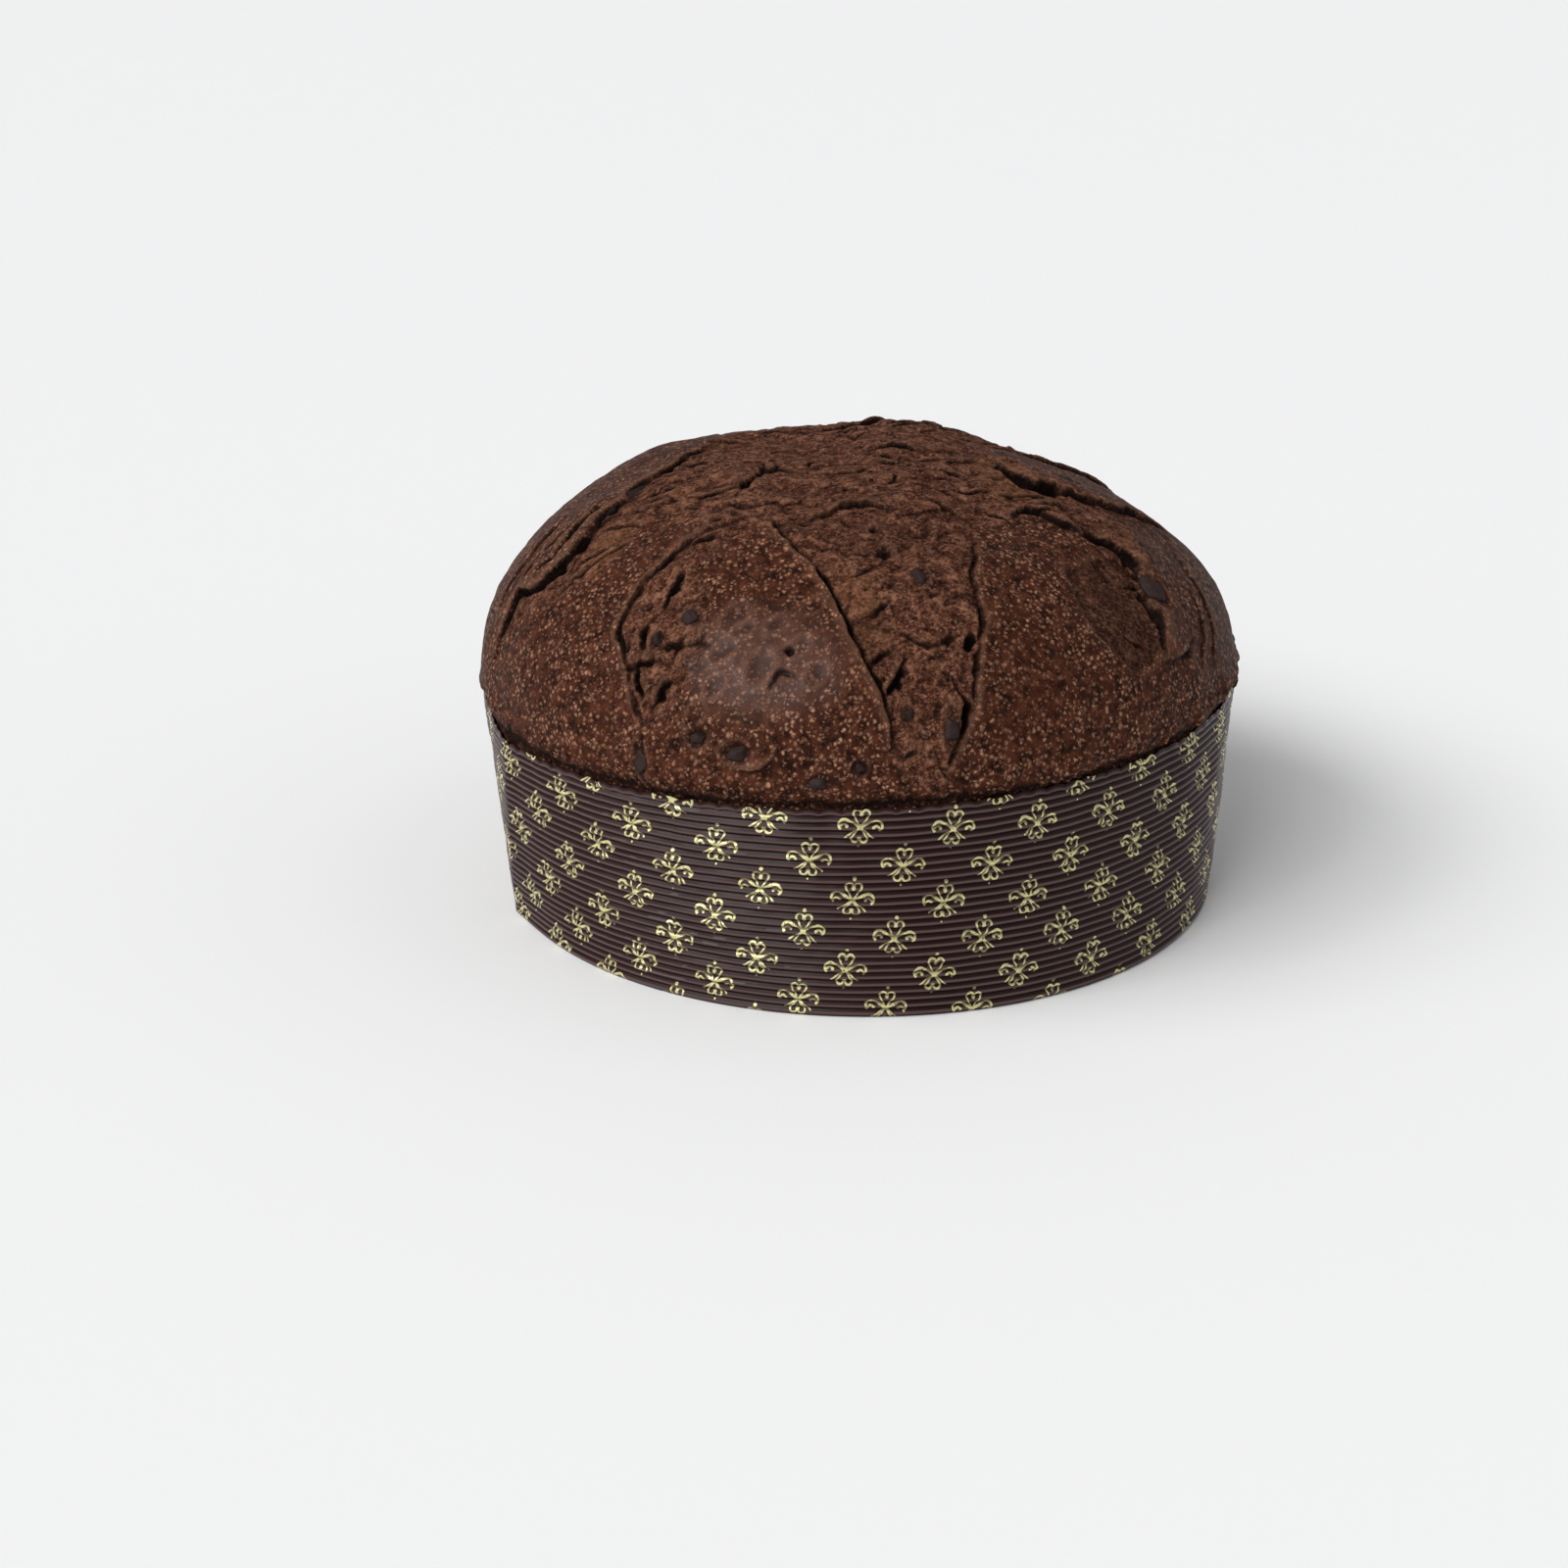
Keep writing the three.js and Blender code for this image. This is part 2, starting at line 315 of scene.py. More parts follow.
# %% [markdown]
# ## Random fields
# Baked dough is never even. These fields give smooth random heights: "ripple" has lumps of one size,
# and "grain" adds finer and finer ones to it. Stretching a field along a direction turns lumps into
# fibres, and folding it at zero gives the sharp ridges of torn crumb. Each has a fixed seed, so the
# loaf comes out the same every time.


# %% Random fields
def ripple(points, size, seed):
    """A smooth random field, about -1 to 1, whose lumps are about "size" mm across."""
    turns = np.random.default_rng(seed).uniform(0, 2 * np.pi, (256, 256))
    scaled = points / size + 128
    corner = np.floor(scaled).astype(int)
    inner = scaled - corner
    fade = inner**3 * (inner * (inner * 6 - 15) + 10)

    def pull(dx, dy):
        turn = turns[(corner[:, 0] + dx) % 256, (corner[:, 1] + dy) % 256]
        return np.cos(turn) * (inner[:, 0] - dx) + np.sin(turn) * (inner[:, 1] - dy)

    low = pull(0, 0) * (1 - fade[:, 0]) + pull(1, 0) * fade[:, 0]
    high = pull(0, 1) * (1 - fade[:, 0]) + pull(1, 1) * fade[:, 0]
    return 1.5 * (low * (1 - fade[:, 1]) + high * fade[:, 1])


def turned(points, degrees):
    turn = math.radians(degrees)
    c, s = math.cos(turn), math.sin(turn)
    return points @ np.array([[c, -s], [s, c]])


def grain(points, size, seed, octaves=3, stretch=1.0, heading=0.0, ridged=False):
    """Ripples of halving size; "stretch" draws them out along a heading in degrees."""
    total = 0
    for k in range(octaves):
        laid = turned(points, heading + (0 if stretch > 1 else 37 * k))
        field = ripple(laid / [stretch, 1], size / 2**k, seed + k)
        total = total + (1 - 2 * np.abs(field) if ridged else field) / 2**k
    return total


print("three octaves vary by", grain(get_points(loaf)[:, :2] / MM, 10, 1).std().round(2))

# %% [markdown]
# ## Drawing tears on the map
# A tear is a smooth path through a few points. For every point of the sheet near it, "beside" gives
# the distance to its left. From that distance come the open gap, the lip of crust that has curled up
# on the left side and leans over the gap, the step up to the flap behind the lip, and the torn dough
# that sinks towards the gap on the right.


# %% Smooth paths
def smooth_path(corners, step=0.6, closed=False):
    """A Catmull-Rom curve through the corners, as points about "step" mm apart."""
    corners = np.array(corners, float)
    if closed:
        ends = np.vstack([corners[-1:], corners, corners[:2]])
    else:
        ends = np.vstack([2 * corners[:1] - corners[1:2], corners, 2 * corners[-1:] - corners[-2:-1]])
    path = []
    for k in range(1, len(ends) - 2):
        count = max(2, int(np.linalg.norm(ends[k + 1] - ends[k]) / step))
        weights = cubic_weights(np.arange(count) / count)
        path.append(sum(w[:, None] * ends[k + i - 1] for i, w in enumerate(weights)))
    path.append(ends[-2:-1])
    return np.vstack(path)


print("points on a path 30 mm long:", len(smooth_path([(0, 0), (10, 4), (20, 4), (30, 0)])))


# %% Distances from a path
def beside(path, points, reach):
    """For the points within reach: their numbers, distance to the left, place along and left normal."""
    inside_box = (points > path.min(0) - reach) & (points < path.max(0) + reach)
    near = np.where(inside_box.all(1))[0]
    chosen = points[near]
    squares = (chosen**2).sum(1)[:, None] - 2 * chosen @ path.T + (path**2).sum(1)
    closest = squares.argmin(1)
    tangent = np.gradient(path, axis=0)
    tangent /= np.linalg.norm(tangent, axis=1, keepdims=True)
    left = np.column_stack([-tangent[:, 1], tangent[:, 0]])[closest]
    offset = chosen - path[closest]
    distance = np.copysign(np.linalg.norm(offset, axis=1), (offset * left).sum(1))
    close = np.abs(distance) < reach
    return near[close], distance[close], (closest / (len(path) - 1))[close], left[close]


def inside(corners, points, soft):
    """1 inside a closed outline and 0 outside, with an edge "soft" mm wide."""
    path = smooth_path(corners, step=1.5, closed=True)
    x, y = points[:, 0:1], points[:, 1:2]
    x0, y0 = path[:, 0], path[:, 1]
    x1, y1 = np.roll(x0, -1), np.roll(y0, -1)
    mask = np.zeros(len(points))
    near = np.where(((points > path.min(0) - soft) & (points < path.max(0) + soft)).all(1))[0]
    slope = (x1 - x0) / np.where(y1 == y0, 1e-9, y1 - y0)
    crossed = ((y0 > y[near]) != (y1 > y[near])) & (x[near] < slope * (y[near] - y0) + x0)
    odd = crossed.sum(1) % 2 == 1
    mask[near] = odd
    edge, distance, _, _ = beside(path, points, soft)
    signed = np.abs(distance) * np.where(mask[edge] > 0.5, 1, -1)
    mask[edge] = smoothstep(signed, -soft, soft)
    return mask


middle = np.array([[5.0, 5.0]])
print("middle of a square:", inside([(0, 0), (10, 0), (10, 10), (0, 10)], middle, soft=1))

# %% The sheet's own record of what has been done to it
sheet = get_points(loaf)[:, :2] / MM
lift = np.zeros(len(sheet))  # mm out of the crust
slide = np.zeros_like(sheet)  # mm along the crust
torn = np.zeros(len(sheet))  # 1 where the crumb shows, 0 on baked skin
painted_shade = np.zeros(len(sheet))  # 1 where shade is painted in: gap bottoms, pits, holes, chunk pits, the right hollow, the paper's edge
painted_highlight = np.zeros(len(sheet))  # 1 on lips and rims, painted paler as painted highlight
glazed = np.zeros(len(sheet))  # 1 where fat has come through and shines

wander = np.column_stack([grain(sheet, 8, 11, 3), grain(sheet, 8, 31, 3)]) * 0.9
drawn = sheet + wander  # tears are drawn on this, so that none runs smoothly
print("paths wander by", np.abs(wander).mean().round(2), "mm")


def tear(corners, gap, depth, lip=0.0, lean=0.0, rise=0.0, sink=0.0, run=9.0, seed=1, ragged=0.8):
    """Opens a gap along a path, with a leaning lip and a raised flap on its left side."""
    path = smooth_path(corners)
    near, off, along, left = beside(path, drawn, 3 * run)
    length = len(path) * 0.6
    place = np.column_stack([along * length, np.zeros(len(along))])
    ends = np.sin(np.pi * np.clip(along, 0.001, 0.999)) ** 0.45
    gape = ends * np.clip(1 + ragged * grain(place, 10, seed, 2), 0.1, 2)
    on_left = off > 0
    frayed = np.where(on_left, 0, np.maximum(grain(sheet[near], 3, seed + 9, 3), -0.3))
    half = gap / 2 * gape * (1 + 1.6 * frayed) + 0.15
    valley = np.exp(-((np.abs(off) / half) ** 4))
    curl = np.exp(-(((off - half - 0.5) / 0.6) ** 2)) * ends
    flap = on_left * (1 - np.exp(-np.abs(off) / 0.7)) * np.exp(-np.abs(off) / run) * ends
    dip = ~on_left * np.exp(-np.abs(off) / run) * ends
    lift[near] += -depth * np.minimum(gape, 1.2) * valley + lip * curl + rise * flap - sink * dip
    slide[near] -= left * (lean * curl)[:, None]
    # The bottom of the gap is painted dark as painted shade, and the curled lip is painted paler as
    # painted highlight.
    shadow = np.exp(-((np.abs(off) / (half + 0.3)) ** 6))
    painted_shade[near] = np.maximum(painted_shade[near], np.clip(1.6 * shadow * gape * depth / 3, 0, 1))
    painted_highlight[near] = np.maximum(painted_highlight[near], curl * min(1, lip))


# %% [markdown]
# ## Where the crust is torn
# Before baking, the dough was scored with a cross. In the oven the four flaps of skin were pushed
# apart, and the dough between them tore. So there are two kinds of surface: speckled skin on the
# flaps and round the edge, and rough, fibrous crumb in the middle and in the wedges between flaps.

# %% Torn regions
CROWN = [(-47, 13), (-57, -8), (-50, -38), (-28, -49), (4, -46), (28, -42), (41, -31), (37, 12),
         (14, 44), (-22, 47)]
LEFT_BAND = [(-97, -44), (-86, -41), (-76, -41), (-69, -31), (-60, -12), (-47, 11), (-35, -20),
             (-30, -46), (-45, -39), (-55, -38), (-60, -47), (-73, -52), (-84, -50)]
CRESCENT = [(-57, -98), (-60, -85), (-60, -75), (-56, -65), (-44, -54), (-29, -47), (-31, -55), (-40, -64),
            (-37, -74), (-39, -85), (-43, -92), (-50, -97)]
WEDGE = [(-29, -46), (-17, -60), (-9, -72), (-3, -86), (4, -98), (10, -115), (22, -121), (29, -108),
         (30, -95), (30, -80), (29, -60), (28, -40), (0, -38)]
RIGHT_HOLLOW = [(55, -51), (62, -42), (70, -36), (77, -41), (81, -51), (82, -62), (76, -70),
                (64, -68), (57, -60)]
RIGHT_SHOULDER = [(37, 14), (41, -30), (50, -26), (60, -31), (72, -33), (80, -40), (77, -24),
                  (71, -8), (60, 0)]
BACK_LEFT = [(-22, 44), (-34, 60), (-44, 84), (-52, 106), (-40, 112), (-28, 92), (-14, 66), (0, 46)]
BACK_RIGHT = [(30, 26), (52, 38), (78, 52), (98, 66), (92, 78), (70, 70), (44, 58), (20, 44)]

REGIONS = [  # outline, heading of the fibres in degrees, how far the crumb has sunk in mm, its relief
    (CROWN, 25, 0.3, 1.0),
    (LEFT_BAND, 25, 0.7, 0.8),
    (WEDGE, 25, 0.6, 1.0),
    (CRESCENT, 75, 0.7, 1.1),
    (RIGHT_HOLLOW, 60, 1.6, 0.35),
    (RIGHT_SHOULDER, -20, 0.5, 1.2),
    (BACK_LEFT, 20, 0.8, 1.0),
    (BACK_RIGHT, 115, 0.8, 1.0),
]
print("torn regions:", len(REGIONS))

# %% [markdown]
# Torn crumb is not one rough texture. It has fine strands along the pull, lumps, ledges where one layer
# ends over the next, and holes. Each is a field of its own, and all are faded in inside the outlines.
# The fibres of the colour follow one map place for the whole loaf, so that they meet without a seam.
# A few patches of crumb tore open late in the oven: they are fresher and more ochre.

# %% Relief of the torn crumb
for number, (outline, heading, sunk, strength) in enumerate(REGIONS):
    region = inside(outline, drawn, soft=1.4)
    strands = grain(sheet, 2.4, 40 + number, 2, stretch=4.5, heading=heading, ridged=True)
    lumps = grain(sheet, 13, 60 + number, 2)
    steps = grain(drawn, 24, 80 + number, 3)
    ledges = (steps * 2) % 1
    ledges = ledges * smoothstep(ledges, 1.0, 0.9)
    holes = smoothstep(grain(sheet, 2.6, 100 + number, 2, stretch=1.8, heading=heading), 0.55, 1.0)
    lift += region * (strength * (0.13 * strands + 0.55 * lumps + 0.8 * ledges - 0.6 * holes) - sunk)
    # The holes are painted dark as painted shade.
    painted_shade = np.maximum(painted_shade, region * 0.5 * holes)
    torn = np.maximum(torn, region)
fibre_place = turned(sheet, 28) / [1.9, 1]
FRESH_PATCHES = [
    [(-67, -36), (-58, -34), (-56, -42), (-60, -49), (-67, -48)],
    [(29, -10), (34, -22), (42, -23), (44, -6), (37, 7), (31, 2)],
    [(-6, -70), (3, -72), (5, -83), (0, -88), (-4, -80)],
]
fresh = 1.6 * sum(inside(outline, drawn, soft=4) for outline in FRESH_PATCHES)
# The hollow on the right is painted darker as painted shade.
shaded = 0.4 * inside(RIGHT_HOLLOW, drawn, soft=7)
print("torn share of the sheet:", torn.mean().round(3))

# %% [markdown]
# The skin between the tears is not flat either: it is puckered in lumps of a few millimetres, and
# broad swells come from the dough that rose unevenly below it.

# %% Swells and puckers of the skin
lift += 0.8 * grain(sheet, 30, 5, 4)
lift += (1 - torn) * 0.13 * grain(sheet, 3.2, 9, 2)
print("surface varies by", lift.std().round(2), "mm")

# %% The big tears
tear([(-104, -46), (-100, -43), (-95, -41), (-91, -37), (-86, -41), (-81, -42), (-76, -40), (-71, -35),
      (-67, -27)],
     gap=1.2, depth=3.0, lip=0.1, lean=0.5, rise=0.8, sink=1.2, run=11, seed=101, ragged=1.5)
tear([(-73, -38), (-69, -31), (-65, -24), (-61, -14), (-56, -4), (-51, 4), (-46, 12), (-41, 19)],
     gap=0.8, depth=2.2, lip=0.1, lean=0.5, rise=0.9, sink=1.0, run=12, seed=103, ragged=1.5)
tear([(-88, -34), (-84, -29), (-79, -27), (-73, -24)], gap=0.9, depth=2.2, lip=0.2, seed=105, ragged=1.4)
tear([(-84, -36), (-78, -35), (-72, -28), (-68, -19)],
     gap=1.1, depth=2.6, lip=0.1, rise=0.4, run=4, seed=106, ragged=1.4)
tear([(-57, -99), (-59, -92), (-59, -85), (-60, -77), (-60, -72), (-57, -66), (-53, -62), (-47, -57),
      (-42, -53), (-37, -50), (-28, -47)],
     gap=0.6, depth=1.6, lip=0.25, lean=0.1, rise=0.2, sink=0.7, run=4, seed=107)
tear([(9, -115), (8, -109), (6, -103), (3, -97), (-1, -90), (-4, -83), (-7, -76), (-11, -69), (-15, -63),
      (-20, -55), (-23, -48), (-27, -46)],
     gap=0.8, depth=1.8, lip=0.1, rise=1.9, sink=1.0, run=10, seed=109, ragged=0.4)
tear([(29, -46), (29, -58), (29, -70), (31, -80), (30, -90), (30, -100), (28, -108), (24, -118)],
     gap=0.6, depth=1.2, lip=0.1, rise=0.5, sink=0.6, run=6, seed=111)
tear([(37, 6), (39, -2), (44, -8), (50, -8), (55, -5)],
     gap=2.2, depth=4, lip=0.1, lean=0.9, rise=1.6, sink=1.8, run=11, seed=113, ragged=1.2)
tear([(46, -9), (57, -4), (66, -1), (76, 5), (86, 12)],
     gap=0.6, depth=1.6, lip=0.1, lean=0.5, rise=1.4, sink=1.2, run=12, seed=114, ragged=1.3)
tear([(40, -33), (45, -26), (51, -28), (57, -31), (63, -34)],
     gap=1.0, depth=2.2, lip=0.2, lean=0.3, rise=0.8, sink=1.0, run=7, seed=115)
tear([(58, -30), (65, -33), (71, -34), (76, -38), (80, -45), (83, -51), (85, -58)],
     gap=3.0, depth=4.5, lip=0.1, lean=0.8, rise=1.5, sink=1.4, run=10, seed=117, ragged=0.6)
print("deepest gap:", lift.min().round(1), "mm")

# %% The small creases, slits and folds
SLITS = [  # path, gap, depth, lip
    ([(-49, -72), (-46, -67), (-43, -63)], 0.9, 2.0, 0.3),
    ([(-54, -82), (-54, -78), (-53, -74)], 1.1, 2.2, 0.4),
    ([(-59, -80), (-58, -75)], 1.0, 1.8, 0.2),
    ([(-57, -92), (-57, -87), (-56, -84)], 1.0, 1.9, 0.4),
    ([(-55, -96), (-51, -93), (-47, -91)], 0.8, 1.6, 0.7),
    ([(-49, -89), (-46, -84), (-42, -81)], 0.7, 1.4, 0.4),
    ([(-58, -100), (-60, -105), (-62, -110)], 1.3, 2.4, 0.6),
    ([(-14, -49), (-8, -43), (1, -40), (10, -41)], 0.8, 1.4, 1.6),
    ([(-27, -10), (-27, -18), (-30, -27), (-33, -34)], 1.6, 2.6, 1.4),
    ([(-36, -38), (-28, -40), (-20, -38)], 0.9, 1.2, 0.5),
    ([(3, 4), (9, 6), (16, 3)], 2.2, 3.0, 1.4),
    ([(-14, 30), (-6, 33), (2, 41), (10, 48)], 1.6, 2.6, 1.6),
    ([(6, 37), (16, 42), (28, 44)], 1.4, 2.4, 1.4),
    ([(29, -98), (28, -106), (25, -115)], 1.6, 2.6, 0.6),
    ([(27, -88), (29, -82)], 2.0, 2.4, 0.3),
    ([(6, -101), (9, -98), (12, -92)], 1.3, 2.2, 0.5),
    ([(10, -86), (16, -88), (24, -85)], 0.9, 1.3, 0.5),
    ([(40, -20), (47, -18), (56, -22)], 1.2, 1.8, 0.9),
    ([(88, -7), (97, -18), (103, -28), (106, -38)], 0.9, 1.0, 0.7),
    ([(92, -22), (99, -34), (101, -46)], 0.9, 1.1, 0.8),
    ([(86, -62), (92, -52), (96, -42)], 0.8, 0.9, 0.7),
    ([(-98, -34), (-92, -28), (-85, -22), (-77, -12)], 1.0, 1.2, 0.8),
    ([(-23, -100), (-20, -96), (-15, -97)], 0.9, 1.2, 0.4),
    ([(-40, -110), (-35, -114), (-29, -116), (-23, -114)], 0.3, 0.4, 1.8),
    ([(-40, 46), (-44, 66), (-54, 88), (-58, 108)], 1.8, 3.4, 1.4),
    ([(-2, 52), (-14, 72), (-24, 92)], 1.2, 2.2, 1.0),
    ([(36, 30), (58, 38), (82, 52), (102, 62)], 2.2, 4.0, 1.6),
    ([(24, 46), (46, 62), (70, 74), (84, 86)], 1.2, 2.2, 1.0),
    ([(-96, 10), (-92, 34), (-96, 56)], 1.0, 1.4, 0.8),
    ([(10, 84), (22, 98), (38, 106)], 0.9, 1.4, 0.8),
]
for number, (corners, gap, depth, lip) in enumerate(SLITS):
    tear(corners, gap=gap, depth=depth, lip=0.4 * lip, lean=0.3 * lip, rise=0.7 * lip, run=4,
         seed=200 + number)
print("slits and folds:", len(SLITS))


# %% [markdown]
# The torn crumb is layered: short sheets of gluten have pulled apart and curled, mostly across the
# direction of the pull. Small tears are strewn over the torn regions for them.

# %% Layers of the torn crumb
dice = np.random.default_rng(19)
LAYERS = 80
open_crumb = np.where((torn > 0.9) & (np.hypot(sheet[:, 0], sheet[:, 1]) < 118))[0]
for number, index in enumerate(dice.choice(open_crumb, LAYERS, replace=False)):
    length = dice.uniform(5, 17)
    turn = math.radians(dice.normal(18, 28))
    reach_out = np.array([math.cos(turn), math.sin(turn)]) * length / 2
    bow = np.array([-math.sin(turn), math.cos(turn)]) * dice.uniform(-0.2, 0.2) * length
    middle = sheet[index]
    corners = [middle - reach_out, middle - reach_out / 3 + bow, middle + reach_out / 3 + bow,
               middle + reach_out]
    tear(corners,
         gap=dice.uniform(0.3, 0.9), depth=dice.uniform(0.7, 1.7), lip=dice.uniform(0.0, 0.2),
         lean=0.2, rise=dice.uniform(0.3, 1.1), run=4, seed=300 + number)
print("layers:", LAYERS)

# %% [markdown]
# Gas bubbles that burst leave pits in the torn crumb, one or two millimetres wide and often drawn out
# by the pull. They are scattered at random over the torn regions, larger ones first, and kept apart
# from each other. Their outlines are wobbled by a finer field, so that none is a true circle.

# %% Burst bubbles
uneven = sheet + np.column_stack([grain(sheet, 3, 131, 2), grain(sheet, 3, 141, 2)]) * 0.6


def bubble(centre, radius, depth, rim, longer=1.0, heading=0.0):
    """A round pit with a slightly raised rim; a negative depth makes a blister."""
    local = turned(uneven - centre, heading) / [longer, 1]
    out = np.hypot(local[:, 0], local[:, 1]) / radius
    near = out < 3
    pit = np.exp(-(out[near] ** 3))
    edge = np.exp(-(((out[near] - 1.35) / 0.35) ** 2))
    lift[near] += rim * edge - depth * pit
    # The pit is painted dark as painted shade and its rim paler as painted highlight.
    painted_shade[near] = np.maximum(painted_shade[near], pit * np.clip(depth / 2.5, 0, 1))
    painted_highlight[near] = np.maximum(painted_highlight[near], edge * np.clip(rim * 1.5, 0, 1))


dice = np.random.default_rng(7)
candidates = np.where((torn > 0.85) & (np.hypot(sheet[:, 0], sheet[:, 1]) < 122))[0]
pits = []
for index in dice.choice(candidates, 260, replace=False):
    radius = dice.uniform(0.35, 0.7) if len(pits) > 20 else dice.uniform(0.7, 1.1)
    if all(np.hypot(*(sheet[index] - other)) > 3.5 * (radius + size) for other, size in pits):
        pits.append((sheet[index], radius))
for centre, radius in pits:
    bubble(centre, radius, depth=dice.uniform(1.0, 2.2) * radius, rim=0.15, longer=dice.uniform(1.2, 3.5),
           heading=dice.uniform(0, 60))
for centre, radius in [((6, -61), 1.8), ((-18, -91), 1.2), ((3, -52), 1.3)]:
    bubble(centre, radius, depth=2.6, rim=0.3)
print("pits:", len(pits))

# %% [markdown]
# In front, fat has come through the skin of one flap. It shines there, and a few flat blisters with
# raised rims show in it.

# %% The glazed patch and its blisters
GLAZE = [(-40, -80), (-30, -79), (-18, -82), (-8, -88), (-6, -98), (-16, -104), (-30, -103), (-40, -96),
         (-42, -88)]
BLISTERS = [  # centre, radius
    ((-31, -80), 2.3), ((-29, -84), 1.6), ((-34, -88), 1.9), ((-25, -94), 2.6), ((-21, -84), 1.7),
    ((-15, -90), 1.8), ((-37, -96), 1.7), ((-11, -97), 1.9), ((-43, -101), 1.8), ((-12, -80), 1.5),
]
glazed = np.maximum(glazed, 0.9 * inside(GLAZE, drawn, soft=6))
for centre, radius in BLISTERS:
    bubble(centre, radius, depth=0.3, rim=0.35, longer=1.5, heading=20 * radius)
print("blisters:", len(BLISTERS))

# %% [markdown]
# ## Room for the chocolate
# Each chunk stands 0.8 mm out of the CAD crust. Round a chunk the sculpted crust has to come back to
# the CAD height. The chunk lies in a shallow pit there, because the dough shrank from it as it
# baked. The pit is painted dark as painted shade, and a raised rim of dough round part of the pit is
# painted paler as painted highlight.


# %% Seat the chunks
def map_place(points):
    """Places on the map of points in mm near the crust."""
    ray = points - HEART
    angle = np.arctan2(np.hypot(ray[:, 0], ray[:, 1]), ray[:, 2])
    heading = ray[:, :2] / np.hypot(ray[:, 0], ray[:, 1])[:, None]
    return heading * (angle * MAP_SCALE)[:, None]


chunk_nodes = sorted(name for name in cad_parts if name.startswith("chocolate_chunk"))
for name in chunk_nodes:
    spots = map_place(get_points(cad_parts[name]) / MM)
    centre = spots.mean(0)
    spread = np.linalg.inv(np.cov((spots - centre).T) * 2.9)
    offset = sheet - centre
    out = np.sqrt(np.maximum(np.einsum("ij,jk,ik->i", offset, spread, offset), 0))
    near = out < 4
    level = np.exp(-((out[near] / 1.35) ** 4))
    pit = np.exp(-((out[near] / 1.05) ** 6))
    broken = np.clip(0.6 + 1.4 * grain(sheet[near], 5, 295, 2), 0, 1.2)
    rim = np.exp(-(((out[near] - 1.27) / 0.16) ** 2)) * broken
    lift[near] = lift[near] * (1 - level) - 0.5 * pit + 0.25 * rim
    slide[near] *= (1 - level)[:, None]
    # Painted shade in the pit, painted highlight on the rim.
    painted_shade[near] = np.maximum(painted_shade[near] * (1 - level), 0.6 * pit)
    painted_highlight[near] = np.maximum(painted_highlight[near], 0.8 * rim)
print("chunks seated:", len(chunk_nodes))

# %% [markdown]
# ## Hollows and ridges
# The material paints the hollows of the crust darker, as painted shade, and its ridges paler, as
# painted highlight. Comparing each point with the average round it, close by and further out, tells
# the two apart. The sculpted heights are also evened out a little first, so no wall is a single step.

# %% Compare each point with its surroundings
def blurred(values, reach):
    """Average over a square of neighbours on the grid, twice, which makes it round."""
    grid = values.reshape(GRID + 1, GRID + 1)
    for axis in (0, 1, 0, 1):
        grid = sum(np.roll(grid, k, axis) for k in range(-reach, reach + 1)) / (2 * reach + 1)
    return grid.ravel()


on_grid = slice(0, (GRID + 1) ** 2)
EVENED = 0.45
heights = lift[on_grid] + EVENED * (blurred(lift[on_grid], 1) - lift[on_grid])
lift[on_grid] = heights
ridge = np.zeros(len(sheet))
ridge[on_grid] = (heights - blurred(heights, 2)) / 0.5 + (heights - blurred(heights, 6)) / 1.4
ridge = 0.5 + 0.5 * np.tanh(ridge)
print("ridge:", ridge[on_grid].std().round(2))

# %% [markdown]
# ## The ragged edge over the paper
# The dough swelled out over the paper's edge and set there in a soft, uneven roll. In places it hangs
# up to three millimetres over the outside of the paper, in a ragged fringe. At the left it has drawn
# back from the paper instead. Where the two touch, a painted contact shadow makes the crust nearly black.

# %% Wrap the sheet and shape its edge
ROLL_HEIGHT = 64.5  # mm, where the roll over the paper is thickest
FRINGE_HEIGHT = 62.5
CONTACT_HEIGHT = 61.0  # where dough and paper touch
SHRUNK_AT = -92  # degrees from the front, where the dough has drawn back

plain = wrap(sheet)
height = plain[:, 2]
roll = np.exp(-(((height - ROLL_HEIGHT) / 3.2) ** 2))
plain_azimuth = np.degrees(np.arctan2(plain[:, 0], -plain[:, 1]))
drawn_back = np.exp(-(((plain_azimuth - SHRUNK_AT) / 20) ** 2))
roll *= 1 - drawn_back
lift += roll * (0.5 + 0.8 * grain(sheet, 12, 301, 3) + 0.6 * grain(sheet, 3.5, 305, 2))
below_edge = smoothstep(height, 61.5, 59.5)
lift *= 1 - below_edge
slide *= (1 - below_edge)[:, None]

moved = sheet + slide
crust = wrap(moved) + surface_normals(moved) * lift[:, None]
radius = np.hypot(crust[:, 0], crust[:, 1])
azimuth = np.degrees(np.arctan2(crust[:, 0], -crust[:, 1]))
print("crust spans", crust.min(0).round(1), "to", crust.max(0).round(1), "mm")

# %% [markdown]
# The fringe may only hang where the dough stands outside the paper, so the paper's own radius is
# measured by rays from outside. The same table later bends the new band to the CAD band's shape.

# %% Measure the paper band
band_tree = shape_tree(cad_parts["paper_band"])
OVERLAP_START = 176.0  # degrees from the front, where the strip begins
BAND_HEIGHTS = np.array([1, 12, 24, 36, 48, 59.5])  # mm, where the band is measured


